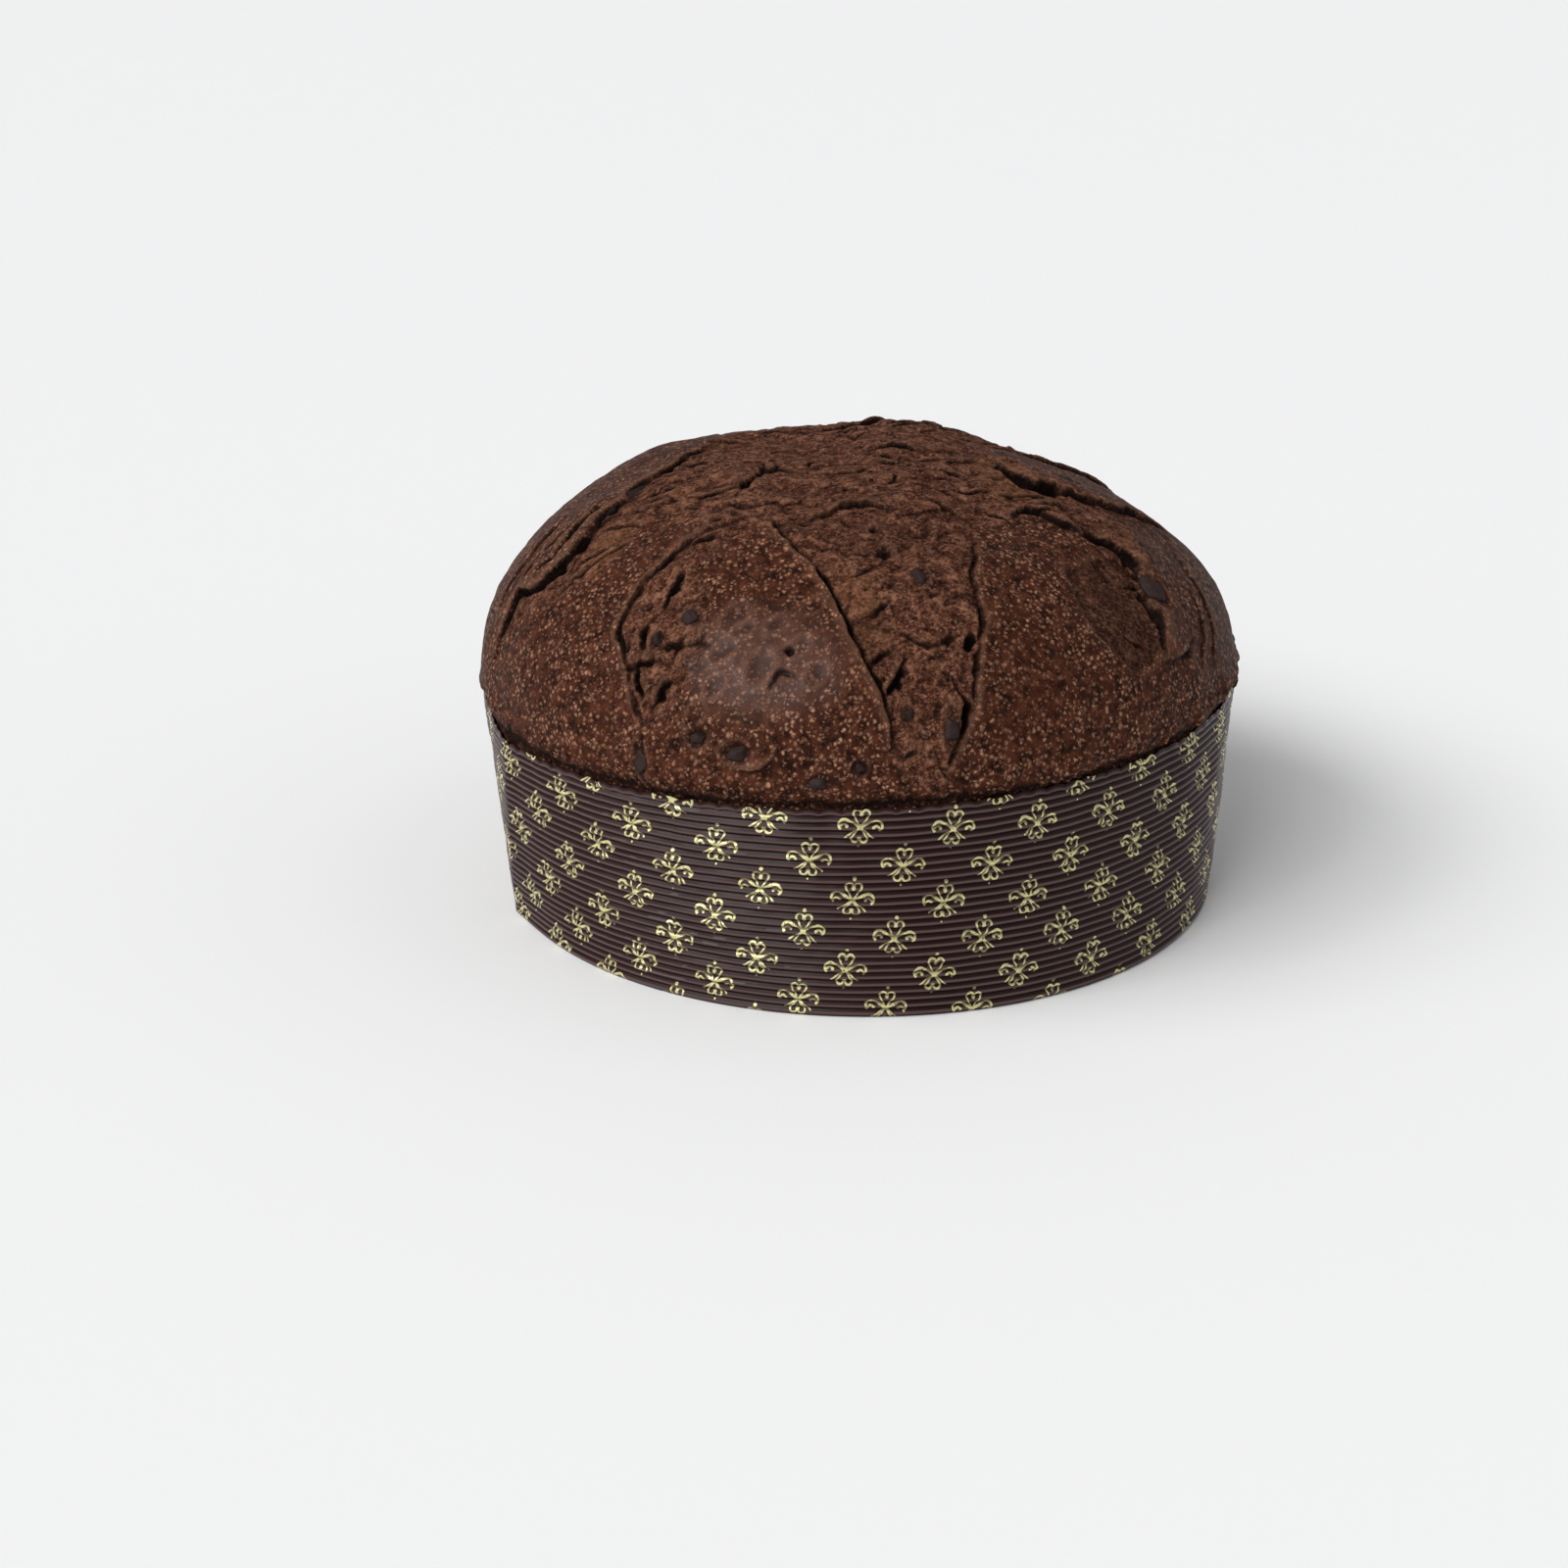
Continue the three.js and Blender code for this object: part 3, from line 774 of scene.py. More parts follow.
def measure_band():
    """Outside radius of the CAD band in mm: a row for each height, a column for each facet."""
    low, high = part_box("paper_band")
    outside = 1.2 * max(high.x, high.y) / MM
    table = np.full((len(BAND_HEIGHTS), SIDES), np.nan)
    around = headings(np.arange(SIDES) * 360 / SIDES + OVERLAP_START + 0.02)
    for row, z in enumerate(BAND_HEIGHTS):
        for column, (x, y) in enumerate(around):
            if column * 360 / SIDES < 13 or column == SIDES - 1:
                continue  # here the band lies double
            start = Vector((x * outside, y * outside, z)) * MM
            _, _, _, distance = band_tree.ray_cast(start, Vector((-x, -y, 0)))
            table[row, column] = outside - distance / MM
    columns = np.arange(SIDES)
    for row in table:
        known = np.isfinite(row)
        row[:] = np.interp(columns, columns[known], row[known], period=SIDES)
    return np.vstack([table[:1], table, table[-1:], table[-1:]])


band_table = measure_band()


def band_radius(azimuth, height):
    row = np.interp(height, BAND_HEIGHTS, np.arange(len(BAND_HEIGHTS))) + 1
    return lookup(band_table, row, (azimuth - OVERLAP_START) * SIDES / 360)


print("band radius:", band_table.min().round(1), "to", band_table.max().round(1), "mm")

# %% Hang the fringe and record the marks
paper_radius = band_radius(azimuth, np.full(len(crust), 60.0))
near_fringe = np.exp(-(((crust[:, 2] - FRINGE_HEIGHT) / 3.0) ** 2))
hanging = smoothstep(radius - paper_radius, 0.0, 0.9) * near_fringe
round_the_edge = headings(azimuth) * 105
sag = 0.9 + 1.3 * grain(round_the_edge, 15, 311, 3) + 1.7 * grain(crust[:, :2], 2.8, 315, 3)
sag = np.clip(sag, 0, 3.2)
crust[:, 2] -= hanging * sag
set_points(loaf, crust * MM)
# A painted contact shadow darkens the crust where dough and paper touch, and joins the painted shade of
# the right hollow.
contact_shadow = np.exp(-(((height - CONTACT_HEIGHT - 0.8 * grain(sheet, 4, 321, 2)) / 1.2) ** 2))
painted_shade = np.maximum(np.maximum(painted_shade, shaded), contact_shadow)
records = {"torn": torn, "painted_shade": painted_shade, "painted_highlight": painted_highlight, "glazed": glazed, "ridge": ridge, "fresh": fresh}
for name, values in records.items():
    paint(loaf, name, values)
weave = loaf.data.attributes.new("fibre_place", "FLOAT_VECTOR", "POINT")
flat_place = np.column_stack([fibre_place, np.zeros(len(sheet))])
weave.data.foreach_set("vector", flat_place.astype(np.float32).ravel())
print("lowest point of the fringe:", crust[hanging > 0.5, 2].min().round(1), "mm")

# %% Close the underside and thin the mesh where it is even
LOAF_TRIANGLES = 196000
select_only(loaf)
bpy.ops.object.mode_set(mode="EDIT")
bpy.ops.mesh.select_all(action="DESELECT")
bpy.ops.mesh.select_non_manifold(extend=False)
bpy.ops.mesh.extrude_region_move()
bpy.ops.mesh.merge(type="CENTER")
bpy.ops.mesh.select_all(action="SELECT")
bpy.ops.mesh.normals_make_consistent(inside=False)
bpy.ops.object.mode_set(mode="OBJECT")
thinner = loaf.modifiers.new("thin", "DECIMATE")
thinner.ratio = LOAF_TRIANGLES / (2 * len(loaf.data.polygons))
bpy.ops.object.modifier_apply(modifier="thin")
bpy.ops.object.shade_smooth()
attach(loaf, "root")
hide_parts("loaf")
print("crust:", len(loaf.data.polygons), "faces")

# %% [markdown]
# ## The paper band
# A panettone mould is a strip of single-face corrugated paper, with its flutes outside and running
# round the loaf. The strip is wound round and glued to itself at the back. Here it starts as a flat
# grid: one way round the loaf, the other way up the outside over every flute, across the pinked edge
# and down the smooth inside. The last point of that profile is the first again, so when the strip is
# wound into place its long edges meet and are merged, and only its two ends are left to close.

# %% The band's profile
RIB_PITCH = 2.14  # mm from flute to flute
RIB_COUNT = 27
RIB_DEPTH = 0.75
RIB_STEPS = 5
BOARD = 1.1
BAND_TOP = 60.0

profile = []  # (distance inside the outer face, height, 1 on the outside)
for step in range(RIB_COUNT * RIB_STEPS + 1):
    rise = step / RIB_STEPS
    profile.append((RIB_DEPTH * math.cos(math.pi * rise) ** 2, 0.15 + rise * RIB_PITCH, 1))
profile += [(0.15, 58.5, 1), (0.1, 58.9, 1), (0.3, 59.4, 1), (0.5, BAND_TOP, 1)]  # a flute cut short
profile += [(BOARD - 0.25, BAND_TOP, 0), (BOARD, 59.0, 0), (BOARD, 52.0, 0), (BOARD, 36.0, 0)]
profile += [(BOARD, 18.0, 0), (BOARD, 0.15, 0), (0.9, 0.0, 0), (RIB_DEPTH, 0.15, 1)]
profile = np.array(profile)
print("profile points:", len(profile))

# %% Wind the strip round the loaf
COLUMNS = 600
OVERLAP = 9.0  # degrees that the strip lies double
EDGE_PITCH = 5.0  # mm between the scallops of the pinked top edge
EDGE_DEPTH = 0.75

bpy.ops.object.select_all(action="DESELECT")
bpy.ops.mesh.primitive_grid_add(x_subdivisions=COLUMNS - 1, y_subdivisions=len(profile) - 1, size=2)
band = bpy.context.object
band.name = "paper_band_ribbed"
cells = get_points(band)
column = np.rint((cells[:, 0] + 1) / 2 * (COLUMNS - 1)).astype(int)
row = np.rint((cells[:, 1] + 1) / 2 * (len(profile) - 1)).astype(int)
turned_by = column / (COLUMNS - 1) * (360 + OVERLAP)
azimuth = OVERLAP_START + turned_by
inset, height, outside_face = profile[row].T
turns = np.arange(0, 360 + OVERLAP + 0.5, 0.5)
plan_radius = band_radius(OVERLAP_START + turns, np.full(len(turns), 40.0))
plan = headings(OVERLAP_START + turns) * plan_radius[:, None]
lengths = np.concatenate([[0], np.cumsum(np.linalg.norm(np.diff(plan, axis=0), axis=1))])
arc = np.interp(turned_by, turns, lengths) - np.interp(360 - OVERLAP_START, turns, lengths)

along_edge = np.column_stack([arc, np.zeros(len(arc))])
phase = np.pi * arc / EDGE_PITCH + 1.3 * ripple(along_edge, 16, 401)
scallop = (np.abs(np.sin(phase)) ** 0.8 - 1) * EDGE_DEPTH * (1 + 0.4 * ripple(along_edge, 9, 403))
height = height + scallop * smoothstep(height, 57.4, 59.6)
wave = 0.35 * grain(along_edge, 14, 405, 3) * smoothstep(height, 30, 60)
dents = 0.28 * grain(np.column_stack([arc, height * 2]), 20, 407, 3) * smoothstep(height, 0, 12)
fold = -69 + 12 * height / BAND_TOP
from_fold = (azimuth - fold - 180) % 360 - 180
crease = 0.7 * np.exp(-np.abs(from_fold) / 2.2) - 0.5 * np.exp(-(((from_fold + 9) / 5) ** 2))
doubled = 1.2 * smoothstep(turned_by, 352, 359.5)
reach = band_radius(azimuth, height) - inset + wave + dents + crease + doubled
around = headings(azimuth) * reach[:, None]
set_points(band, np.column_stack([around, height]) * MM)
print("strip length:", lengths[-1].round(1), "mm")

# %% Close the strip and lay out its print
sheet_map = band.data.uv_layers.new(name="print_mm")
corner_points = np.empty(len(band.data.loops), int)
band.data.loops.foreach_get("vertex_index", corner_points)
sheet_map.data.foreach_set("uv", np.column_stack([arc, height])[corner_points].astype(np.float32).ravel())
paint(band, "outside", outside_face)
paint(band, "flute", 1 - inset / RIB_DEPTH)

select_only(band)
bpy.ops.object.mode_set(mode="EDIT")
bpy.ops.mesh.select_all(action="SELECT")
bpy.ops.mesh.remove_doubles(threshold=0.01 * MM)
bpy.ops.mesh.select_all(action="DESELECT")
bpy.ops.mesh.select_non_manifold(extend=False)
print("open edges at the two ends:", band.data.total_edge_sel)
bpy.ops.mesh.fill_holes(sides=0)
bpy.ops.mesh.select_all(action="SELECT")
bpy.ops.mesh.normals_make_consistent(inside=False)
bpy.ops.object.mode_set(mode="OBJECT")
bpy.ops.object.shade_smooth_by_angle(angle=math.radians(50))
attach(band, "root")
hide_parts("paper_band")
print("band:", len(band.data.polygons), "faces")

# %% [markdown]
# ## Chocolate chunks
# The CAD chunks are coarse nuggets in the right places. Each is copied, its loose triangles are
# merged and it is subdivided. Then flat faces are struck off it from many sides, as on chocolate
# that has been chopped: every point that lies beyond a plane is pushed back to it.


# %% Chocolate chunks
CHUNK_SCALE = 1.1
CHUNK_SUNK = 0.15  # mm


def strike_faces(points, size, dice, count=11):
    """Chops flat faces on a nugget: its points beyond each random plane move back to that plane."""
    for _ in range(count):
        facing = dice.normal(size=3)
        facing /= np.linalg.norm(facing)
        beyond = points @ facing
        limit = dice.uniform(0.55, 0.88) * beyond.max()
        points = points - np.maximum(beyond - limit, 0)[:, None] * facing
    return points + 0.02 * size * dice.normal(size=points.shape)


def finish_chocolate(piece):
    select_only(piece)
    bpy.ops.object.shade_smooth_by_angle(angle=math.radians(32))
    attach(piece, "root")


chunks = []
for number, name in enumerate(chunk_nodes):
    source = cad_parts[name]
    piece = bpy.data.objects.new(name.replace("chunk", "nugget"), source.data.copy())
    bpy.context.scene.collection.objects.link(piece)
    select_only(piece)
    bpy.ops.object.mode_set(mode="EDIT")
    bpy.ops.mesh.select_all(action="SELECT")
    bpy.ops.mesh.remove_doubles(threshold=0.01 * MM)
    bpy.ops.mesh.normals_make_consistent(inside=False)
    bpy.ops.mesh.subdivide(number_cuts=3)
    bpy.ops.object.mode_set(mode="OBJECT")
    points = get_points(piece) / MM
    centre = points.mean(0)
    size = np.ptp(points, axis=0).max()
    dice = np.random.default_rng(500 + number)
    chopped = strike_faces((points - centre) * CHUNK_SCALE, size / 10, dice)
    outwards = surface_normals(map_place(centre[None, :]))[0]
    set_points(piece, (centre + chopped - CHUNK_SUNK * outwards) * MM)
    finish_chocolate(piece)
    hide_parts(name)
    chunks.append(piece)
print("chunks:", len(chunks))

# %% [markdown]
# One long splinter of chocolate lies in the big tear on the left. It starts as a small sphere drawn
# out into a rod; its length is then laid along the tear on the map and wrapped onto the loaf.

# %% The splinter in the tear
SPLINTER_WIDTH = 3.6
SPLINTER_THICKNESS = 3.0
SPLINTER_SUNK = 0.7

bpy.ops.object.select_all(action="DESELECT")
bpy.ops.mesh.primitive_ico_sphere_add(subdivisions=5, radius=1)
splinter = bpy.context.object
splinter.name = "chocolate_splinter"
rod = strike_faces(get_points(splinter), 0.3, np.random.default_rng(61), count=18)
bed = smooth_path([(-66, -26), (-63, -19), (-60, -12), (-56, -5)])
share = 0.5 + 0.5 * rod[:, 0] / np.abs(rod[:, 0]).max()
step = np.clip(share * (len(bed) - 2), 0, len(bed) - 2)
tangent = np.gradient(bed, axis=0)
tangent /= np.linalg.norm(tangent, axis=1, keepdims=True)
left = np.column_stack([-tangent[:, 1], tangent[:, 0]])
whole = step.astype(int)
on_bed = bed[whole] + (bed[whole + 1] - bed[whole]) * (step - whole)[:, None]
bend = 0.5 * np.sin(5 * share)
laid = on_bed + left[whole] * (rod[:, 1] * SPLINTER_WIDTH / 2 + bend)[:, None]
height = rod[:, 2] * SPLINTER_THICKNESS / 2 - SPLINTER_SUNK
set_points(splinter, (wrap(laid) + surface_normals(laid) * height[:, None]) * MM)
finish_chocolate(splinter)
chunks.append(splinter)
print("splinter is", round(len(bed) * 0.6, 1), "mm long")

# %% [markdown]
# ## Materials
# A colour is written as the hex value that a colour picker shows and turned to linear light by one
# function. Another small function adds one node with its settings and links. Patterns are scaled from
# real sizes: a Voronoi or noise scale of 1000 / n has cells n millimetres across. A Mix node has sets
# of sockets for values and for colours, so those of each set are named by their numbers.


# %% Tools for materials
def colour(hex_value):
    """sRGB hex to the linear RGBA that Blender works in."""
    parts = [int(hex_value[k : k + 2], 16) / 255 for k in (1, 3, 5)]
    return [p / 12.92 if p <= 0.04045 else ((p + 0.055) / 1.055) ** 2.4 for p in parts] + [1]


def add_node(tree, kind, sockets=None, **settings):
    """Adds a shader node. Each socket gets a value, or a link from a node or one of its outputs."""
    made = tree.nodes.new("ShaderNode" + kind)
    for name, value in settings.items():
        setattr(made, name, value)
    for name, value in (sockets or {}).items():
        if isinstance(value, bpy.types.Node):
            value = value.outputs[0]
        if isinstance(value, bpy.types.NodeSocket):
            tree.links.new(value, made.inputs[name])
        else:
            made.inputs[name].default_value = value
    return made


def start_material(name, **constants):
    """A new material with only its shader, whose constants are set straight on its sockets."""
    material = bpy.data.materials.new(name)
    material.use_nodes = True
    shader = material.node_tree.nodes["Principled BSDF"]
    for socket, value in constants.items():
        shader.inputs[socket.replace("_", " ")].default_value = value
    return material, material.node_tree, shader


def per_mm(size):
    """Texture scale for cells of a size in mm, on coordinates in metres."""
    return 1000 / size


VALUE_A, VALUE_B = 2, 3
COLOUR_A, COLOUR_B, COLOUR_OUT = 6, 7, 2
IN_COLOUR = {"data_type": "RGBA"}
print("mid grey in linear light:", round(colour("#808080")[0], 3))

# %% [markdown]
# ### Crust
# Cocoa dough baked brown-black. Its skin is covered with raised specks, about a millimetre apart,
# where starch and sugar dried on the surface: warm brown points with a slight shine over nearly black
# hollows. The torn crumb is redder and matt. Gaps, pits and hollows are painted almost black as
# painted shade, lips and ridges are painted greyer and paler as painted highlight, and the glazed
# patch gets a painted sheen. What a point is, skin, crumb or gap, comes from the attributes laid on
# the mesh.

# %% Crust material: coordinates and marks
crust_material, tree, shader = start_material(
    "baked_cocoa_crust", IOR=1.4, Specular_IOR_Level=0.06, Coat_Roughness=0.38
)
place = add_node(tree, "TexCoord").outputs["Object"]
marks = {
    name: add_node(tree, "Attribute", attribute_name=name).outputs["Fac"]
    for name in ("torn", "painted_shade", "painted_highlight", "glazed", "ridge", "fresh")
}
weave = add_node(tree, "Attribute", attribute_name="fibre_place").outputs["Vector"]  # in mm
print("marks read:", len(marks) + 1)

# %% [markdown]
# The specks are the cells of a Voronoi texture. Three things keep them from looking like a pattern:
# a finer noise wobbles their edges, each cell gets a size and a tint of its own, and a slow noise
# makes them dense in some places and sparse in others.

# %% Specks of the skin
SPECK_SPACING = 1.2  # mm
WOBBLE = 0.0016  # metres

wobble = add_node(tree, "TexNoise", {"Vector": place, "Scale": per_mm(1.5), "Detail": 2.0})
shifted = add_node(tree, "VectorMath", {0: wobble.outputs["Color"], 1: (WOBBLE, WOBBLE, WOBBLE)},
                   operation="MULTIPLY")
wobbled = add_node(tree, "VectorMath", {0: place, 1: shifted}, operation="ADD")
specks = add_node(tree, "TexVoronoi",
                  {"Vector": wobbled, "Scale": per_mm(SPECK_SPACING), "Randomness": 1.0})
chance = add_node(tree, "SeparateXYZ", {0: specks.outputs["Color"]})
speck_size = add_node(tree, "MapRange", {"Value": chance.outputs["X"], "To Min": 0.36, "To Max": 0.8})
speck = add_node(tree, "MapRange",
                 {"Value": specks.outputs["Distance"], "From Min": 0.08, "From Max": speck_size,
                  "To Min": 1.0, "To Max": 0.0}, interpolation_type="SMOOTHSTEP")
patches = add_node(tree, "TexNoise",
                   {"Vector": place, "Scale": per_mm(16), "Detail": 4.0, "Roughness": 0.6})
density = add_node(tree, "MapRange",
                   {"Value": patches, "From Min": 0.36, "From Max": 0.54, "To Min": 0.45})
speckled = add_node(tree, "Math", {0: speck, 1: density}, operation="MULTIPLY")
print("specks:", SPECK_SPACING, "mm apart")

# %% Colour of the skin
# Real pores are finer than this noise, which is drawn as coarse as it needs to be to show. It is also
# part of the bump, and its low places are painted nearly black as painted shade.
fine = add_node(tree, "TexNoise",
                {"Vector": place, "Scale": per_mm(0.9), "Detail": 4.0, "Roughness": 0.7})
mottle = add_node(tree, "TexNoise",
                  {"Vector": place, "Scale": per_mm(3.2), "Detail": 5.0, "Roughness": 0.65})
mottled = add_node(tree, "MapRange", {"Value": mottle, "From Min": 0.36, "From Max": 0.64})
skin_base = add_node(tree, "Mix", {"Factor": mottled, COLOUR_A: colour("#1c0b06"),
                                   COLOUR_B: colour("#4f2a1b")}, **IN_COLOUR).outputs[COLOUR_OUT]
speck_tint = add_node(tree, "Mix", {"Factor": chance.outputs["Y"], COLOUR_A: colour("#5c3828"),
                                    COLOUR_B: colour("#b08165")}, **IN_COLOUR).outputs[COLOUR_OUT]
speckled_skin = add_node(tree, "Mix", {"Factor": speckled, COLOUR_A: skin_base,
                                       COLOUR_B: speck_tint}, **IN_COLOUR).outputs[COLOUR_OUT]
skin_pit_shade = add_node(tree, "MapRange", {"Value": fine, "From Min": 0.3, "From Max": 0.42,
                                        "To Min": 0.7, "To Max": 0.0})
skin = add_node(tree, "Mix", {"Factor": skin_pit_shade, COLOUR_A: speckled_skin,
                              COLOUR_B: colour("#140805")}, **IN_COLOUR).outputs[COLOUR_OUT]
print("nodes so far:", len(tree.nodes))

# %% [markdown]
# Torn crumb is drawn out in fibres where the dough was pulled, and clotted where it was not. The
# fibres read a map place in millimetres that was laid on the mesh, already turned and drawn out
# along the pull, so they bend with the loaf.

# %% Fibres and clots of the torn crumb
FIBRE_WIDTH = 0.9  # mm
CLOT_SIZE = 3.5

fibres = add_node(tree, "TexNoise",
                  {"Vector": weave, "Scale": 1 / FIBRE_WIDTH, "Detail": 6.0, "Roughness": 0.8})
clots = add_node(tree, "TexNoise",
                 {"Vector": place, "Scale": per_mm(CLOT_SIZE), "Detail": 6.0, "Roughness": 0.7})
crumb_share = add_node(tree, "Mix", {"Factor": 0.5, VALUE_A: fibres, VALUE_B: clots})
# The ramp follows the same height as the bump: its low places are painted nearly black as painted shade.
crumb_ramp = add_node(tree, "ValToRGB", {"Fac": crumb_share})
crumb_ramp.color_ramp.elements[0].position = 0.39
crumb_ramp.color_ramp.elements[0].color = colour("#1d0c06")
crumb_ramp.color_ramp.elements[1].position = 0.61
crumb_ramp.color_ramp.elements[1].color = colour("#ac785d")
middle = crumb_ramp.color_ramp.elements.new(0.5)
middle.color = colour("#5e3526")
print("fibres:", FIBRE_WIDTH, "mm wide, clots:", CLOT_SIZE, "mm")

# %% Colour of the torn crumb
ochre = add_node(tree, "TexNoise",
                 {"Vector": place, "Scale": per_mm(8), "Detail": 8.0, "Roughness": 0.75})
fresher = add_node(tree, "Math", {0: marks["fresh"], 1: 0.12, 2: ochre}, operation="MULTIPLY_ADD")
ochre_share = add_node(tree, "MapRange",
                       {"Value": fresher, "From Min": 0.52, "From Max": 0.66, "To Max": 0.5})
golden = add_node(tree, "Mix", {"Factor": ochre_share, COLOUR_A: crumb_ramp.outputs["Color"],
                                COLOUR_B: colour("#8a5b3d")}, **IN_COLOUR).outputs[COLOUR_OUT]
fleck = add_node(tree, "MapRange", {"Value": fine, "From Min": 0.54, "From Max": 0.64, "To Max": 0.7})
flecked = add_node(tree, "Mix", {"Factor": fleck, COLOUR_A: golden,
                                 COLOUR_B: colour("#a9806a")}, **IN_COLOUR).outputs[COLOUR_OUT]
# The low places of the fine noise, which is part of the bump, are painted nearly black as painted shade.
crumb_pit_shade = add_node(tree, "MapRange", {"Value": fine, "From Min": 0.34, "From Max": 0.45,
                                   "To Min": 0.95, "To Max": 0.0})
pit_shaded_crumb = add_node(tree, "Mix", {"Factor": crumb_pit_shade, COLOUR_A: flecked,
                               COLOUR_B: colour("#170905")}, **IN_COLOUR).outputs[COLOUR_OUT]
tides = add_node(tree, "TexNoise",
                 {"Vector": place, "Scale": per_mm(22), "Detail": 3.0, "Roughness": 0.6})
tide = add_node(tree, "MapRange", {"Value": tides, "From Min": 0.35, "From Max": 0.5,
                                   "To Min": 0.3, "To Max": 0.0})
crumb = add_node(tree, "Mix", {"Factor": tide, COLOUR_A: pit_shaded_crumb,
                               COLOUR_B: colour("#2b150d")}, **IN_COLOUR).outputs[COLOUR_OUT]
print("nodes so far:", len(tree.nodes))

# %% Skin and crumb, then what lies over both, in one colour
highlight_share = add_node(tree, "Math", {0: marks["painted_highlight"], 1: 0.4}, operation="MULTIPLY")
# The glazed patch is painted greyer and paler as painted sheen. Its real gloss is the coat further down.
painted_sheen = add_node(tree, "Math", {0: marks["glazed"], 1: 0.35}, operation="MULTIPLY")
hollow_shade = add_node(tree, "MapRange", {"Value": marks["ridge"], "From Min": 0.05, "From Max": 0.5,
                                        "To Min": 0.7, "To Max": 0.0})
ridge_highlight = add_node(tree, "MapRange",
                    {"Value": marks["ridge"], "From Min": 0.6, "From Max": 1.0, "To Max": 0.22})
crust_tone = skin
# Laid over skin and crumb: painted highlight on lips and rims, painted sheen on the glazed patch, painted
# shade in hollows, painted highlight on ridges, and painted shade in gaps, pits and at the paper's edge.
for share, laid_over in [
    (marks["torn"], crumb),
    (highlight_share, colour("#63483d")),
    (painted_sheen, colour("#6b4d42")),
    (hollow_shade, colour("#1a0c08")),
    (ridge_highlight, colour("#9a7158")),
    (marks["painted_shade"], colour("#130907")),
]:
    crust_tone = add_node(tree, "Mix", {"Factor": share, COLOUR_A: crust_tone,
                                        COLOUR_B: laid_over}, **IN_COLOUR).outputs[COLOUR_OUT]
tree.links.new(crust_tone, shader.inputs["Base Color"])
print("nodes so far:", len(tree.nodes))

# %% Shine and relief of the crust
RELIEF = 0.45 * MM

rough = add_node(tree, "MapRange", {"Value": marks["torn"], "To Min": 0.5, "To Max": 0.7})
tree.links.new(rough.outputs[0], shader.inputs["Roughness"])
fat = add_node(tree, "Math", {0: marks["glazed"], 1: 0.16}, operation="MULTIPLY")
beads = add_node(tree, "Math", {0: speckled, 1: 0.1}, operation="MULTIPLY")
coat = add_node(tree, "Math", {0: fat, 1: beads}, operation="ADD")
tree.links.new(coat.outputs[0], shader.inputs["Coat Weight"])

crumb_relief = add_node(tree, "Math", {0: crumb_share, 1: 6.0}, operation="MULTIPLY")
relief = add_node(tree, "Mix", {"Factor": marks["torn"], VALUE_A: speckled, VALUE_B: crumb_relief})
full_relief = add_node(tree, "Math", {0: relief, 1: fine}, operation="ADD")
bump = add_node(tree, "Bump", {"Height": full_relief, "Strength": 1.0, "Distance": RELIEF})
tree.links.new(bump.outputs[0], shader.inputs["Normal"])
loaf.data.materials.append(crust_material)
print("crust material nodes:", len(tree.nodes))

# %% [markdown]
# ### Printed corrugated paper
# Brown-black dyed kraft paper with a faint sheen along its flutes, printed in one pass with gold ink:
# a scattered scroll ornament in staggered columns. The crests of the flutes are painted paler as
# painted highlight, beside the real sheen. The ornament is drawn from arcs, straight strokes and dots
# in the print's own millimetres, mirrored left to right.

# %% The ornament's arcs, strokes and dots
ARCS = [  # centre, radius, middle direction in degrees, half of its span, stroke width
    ((1.08, 3.85), 0.95, 95, 118, 0.56),
    ((3.9, 0.55), 1.5, 40, 98, 0.62),
    ((4.05, -0.15), 0.75, 95, 85, 0.52),
    ((1.12, -3.1), 0.92, -95, 118, 0.52),
]
STROKES = [  # from, to, width
    ((2.02, 3.5), (0.15, 0.35), 0.42),
    ((2.75, 1.65), (0.15, 0.15), 0.7),
    ((0.5, -0.45), (3.5, -2.8), 0.42),
    ((2.02, -2.8), (0.15, -0.35), 0.42),
]
DOTS = [  # centre, radius
    ((0, 3.3), 0.42), ((3.3, 0.15), 0.4), ((0, -2.85), 0.42), ((0, 6.0), 0.5), ((0, -5.3), 0.24),
    ((0, 0), 0.75),
]
print("ornament:", len(ARCS), "arcs,", len(STROKES), "strokes and", len(DOTS), "dots")

# %% [markdown]
# Each part of the ornament is a small test on the place in the cell. An arc is the points at one
# distance from its centre that also lie far enough ahead in its middle direction. A stroke is the
# points near their foot on a line, and a dot the points near its centre. The ink is the most that any
# of them gives.


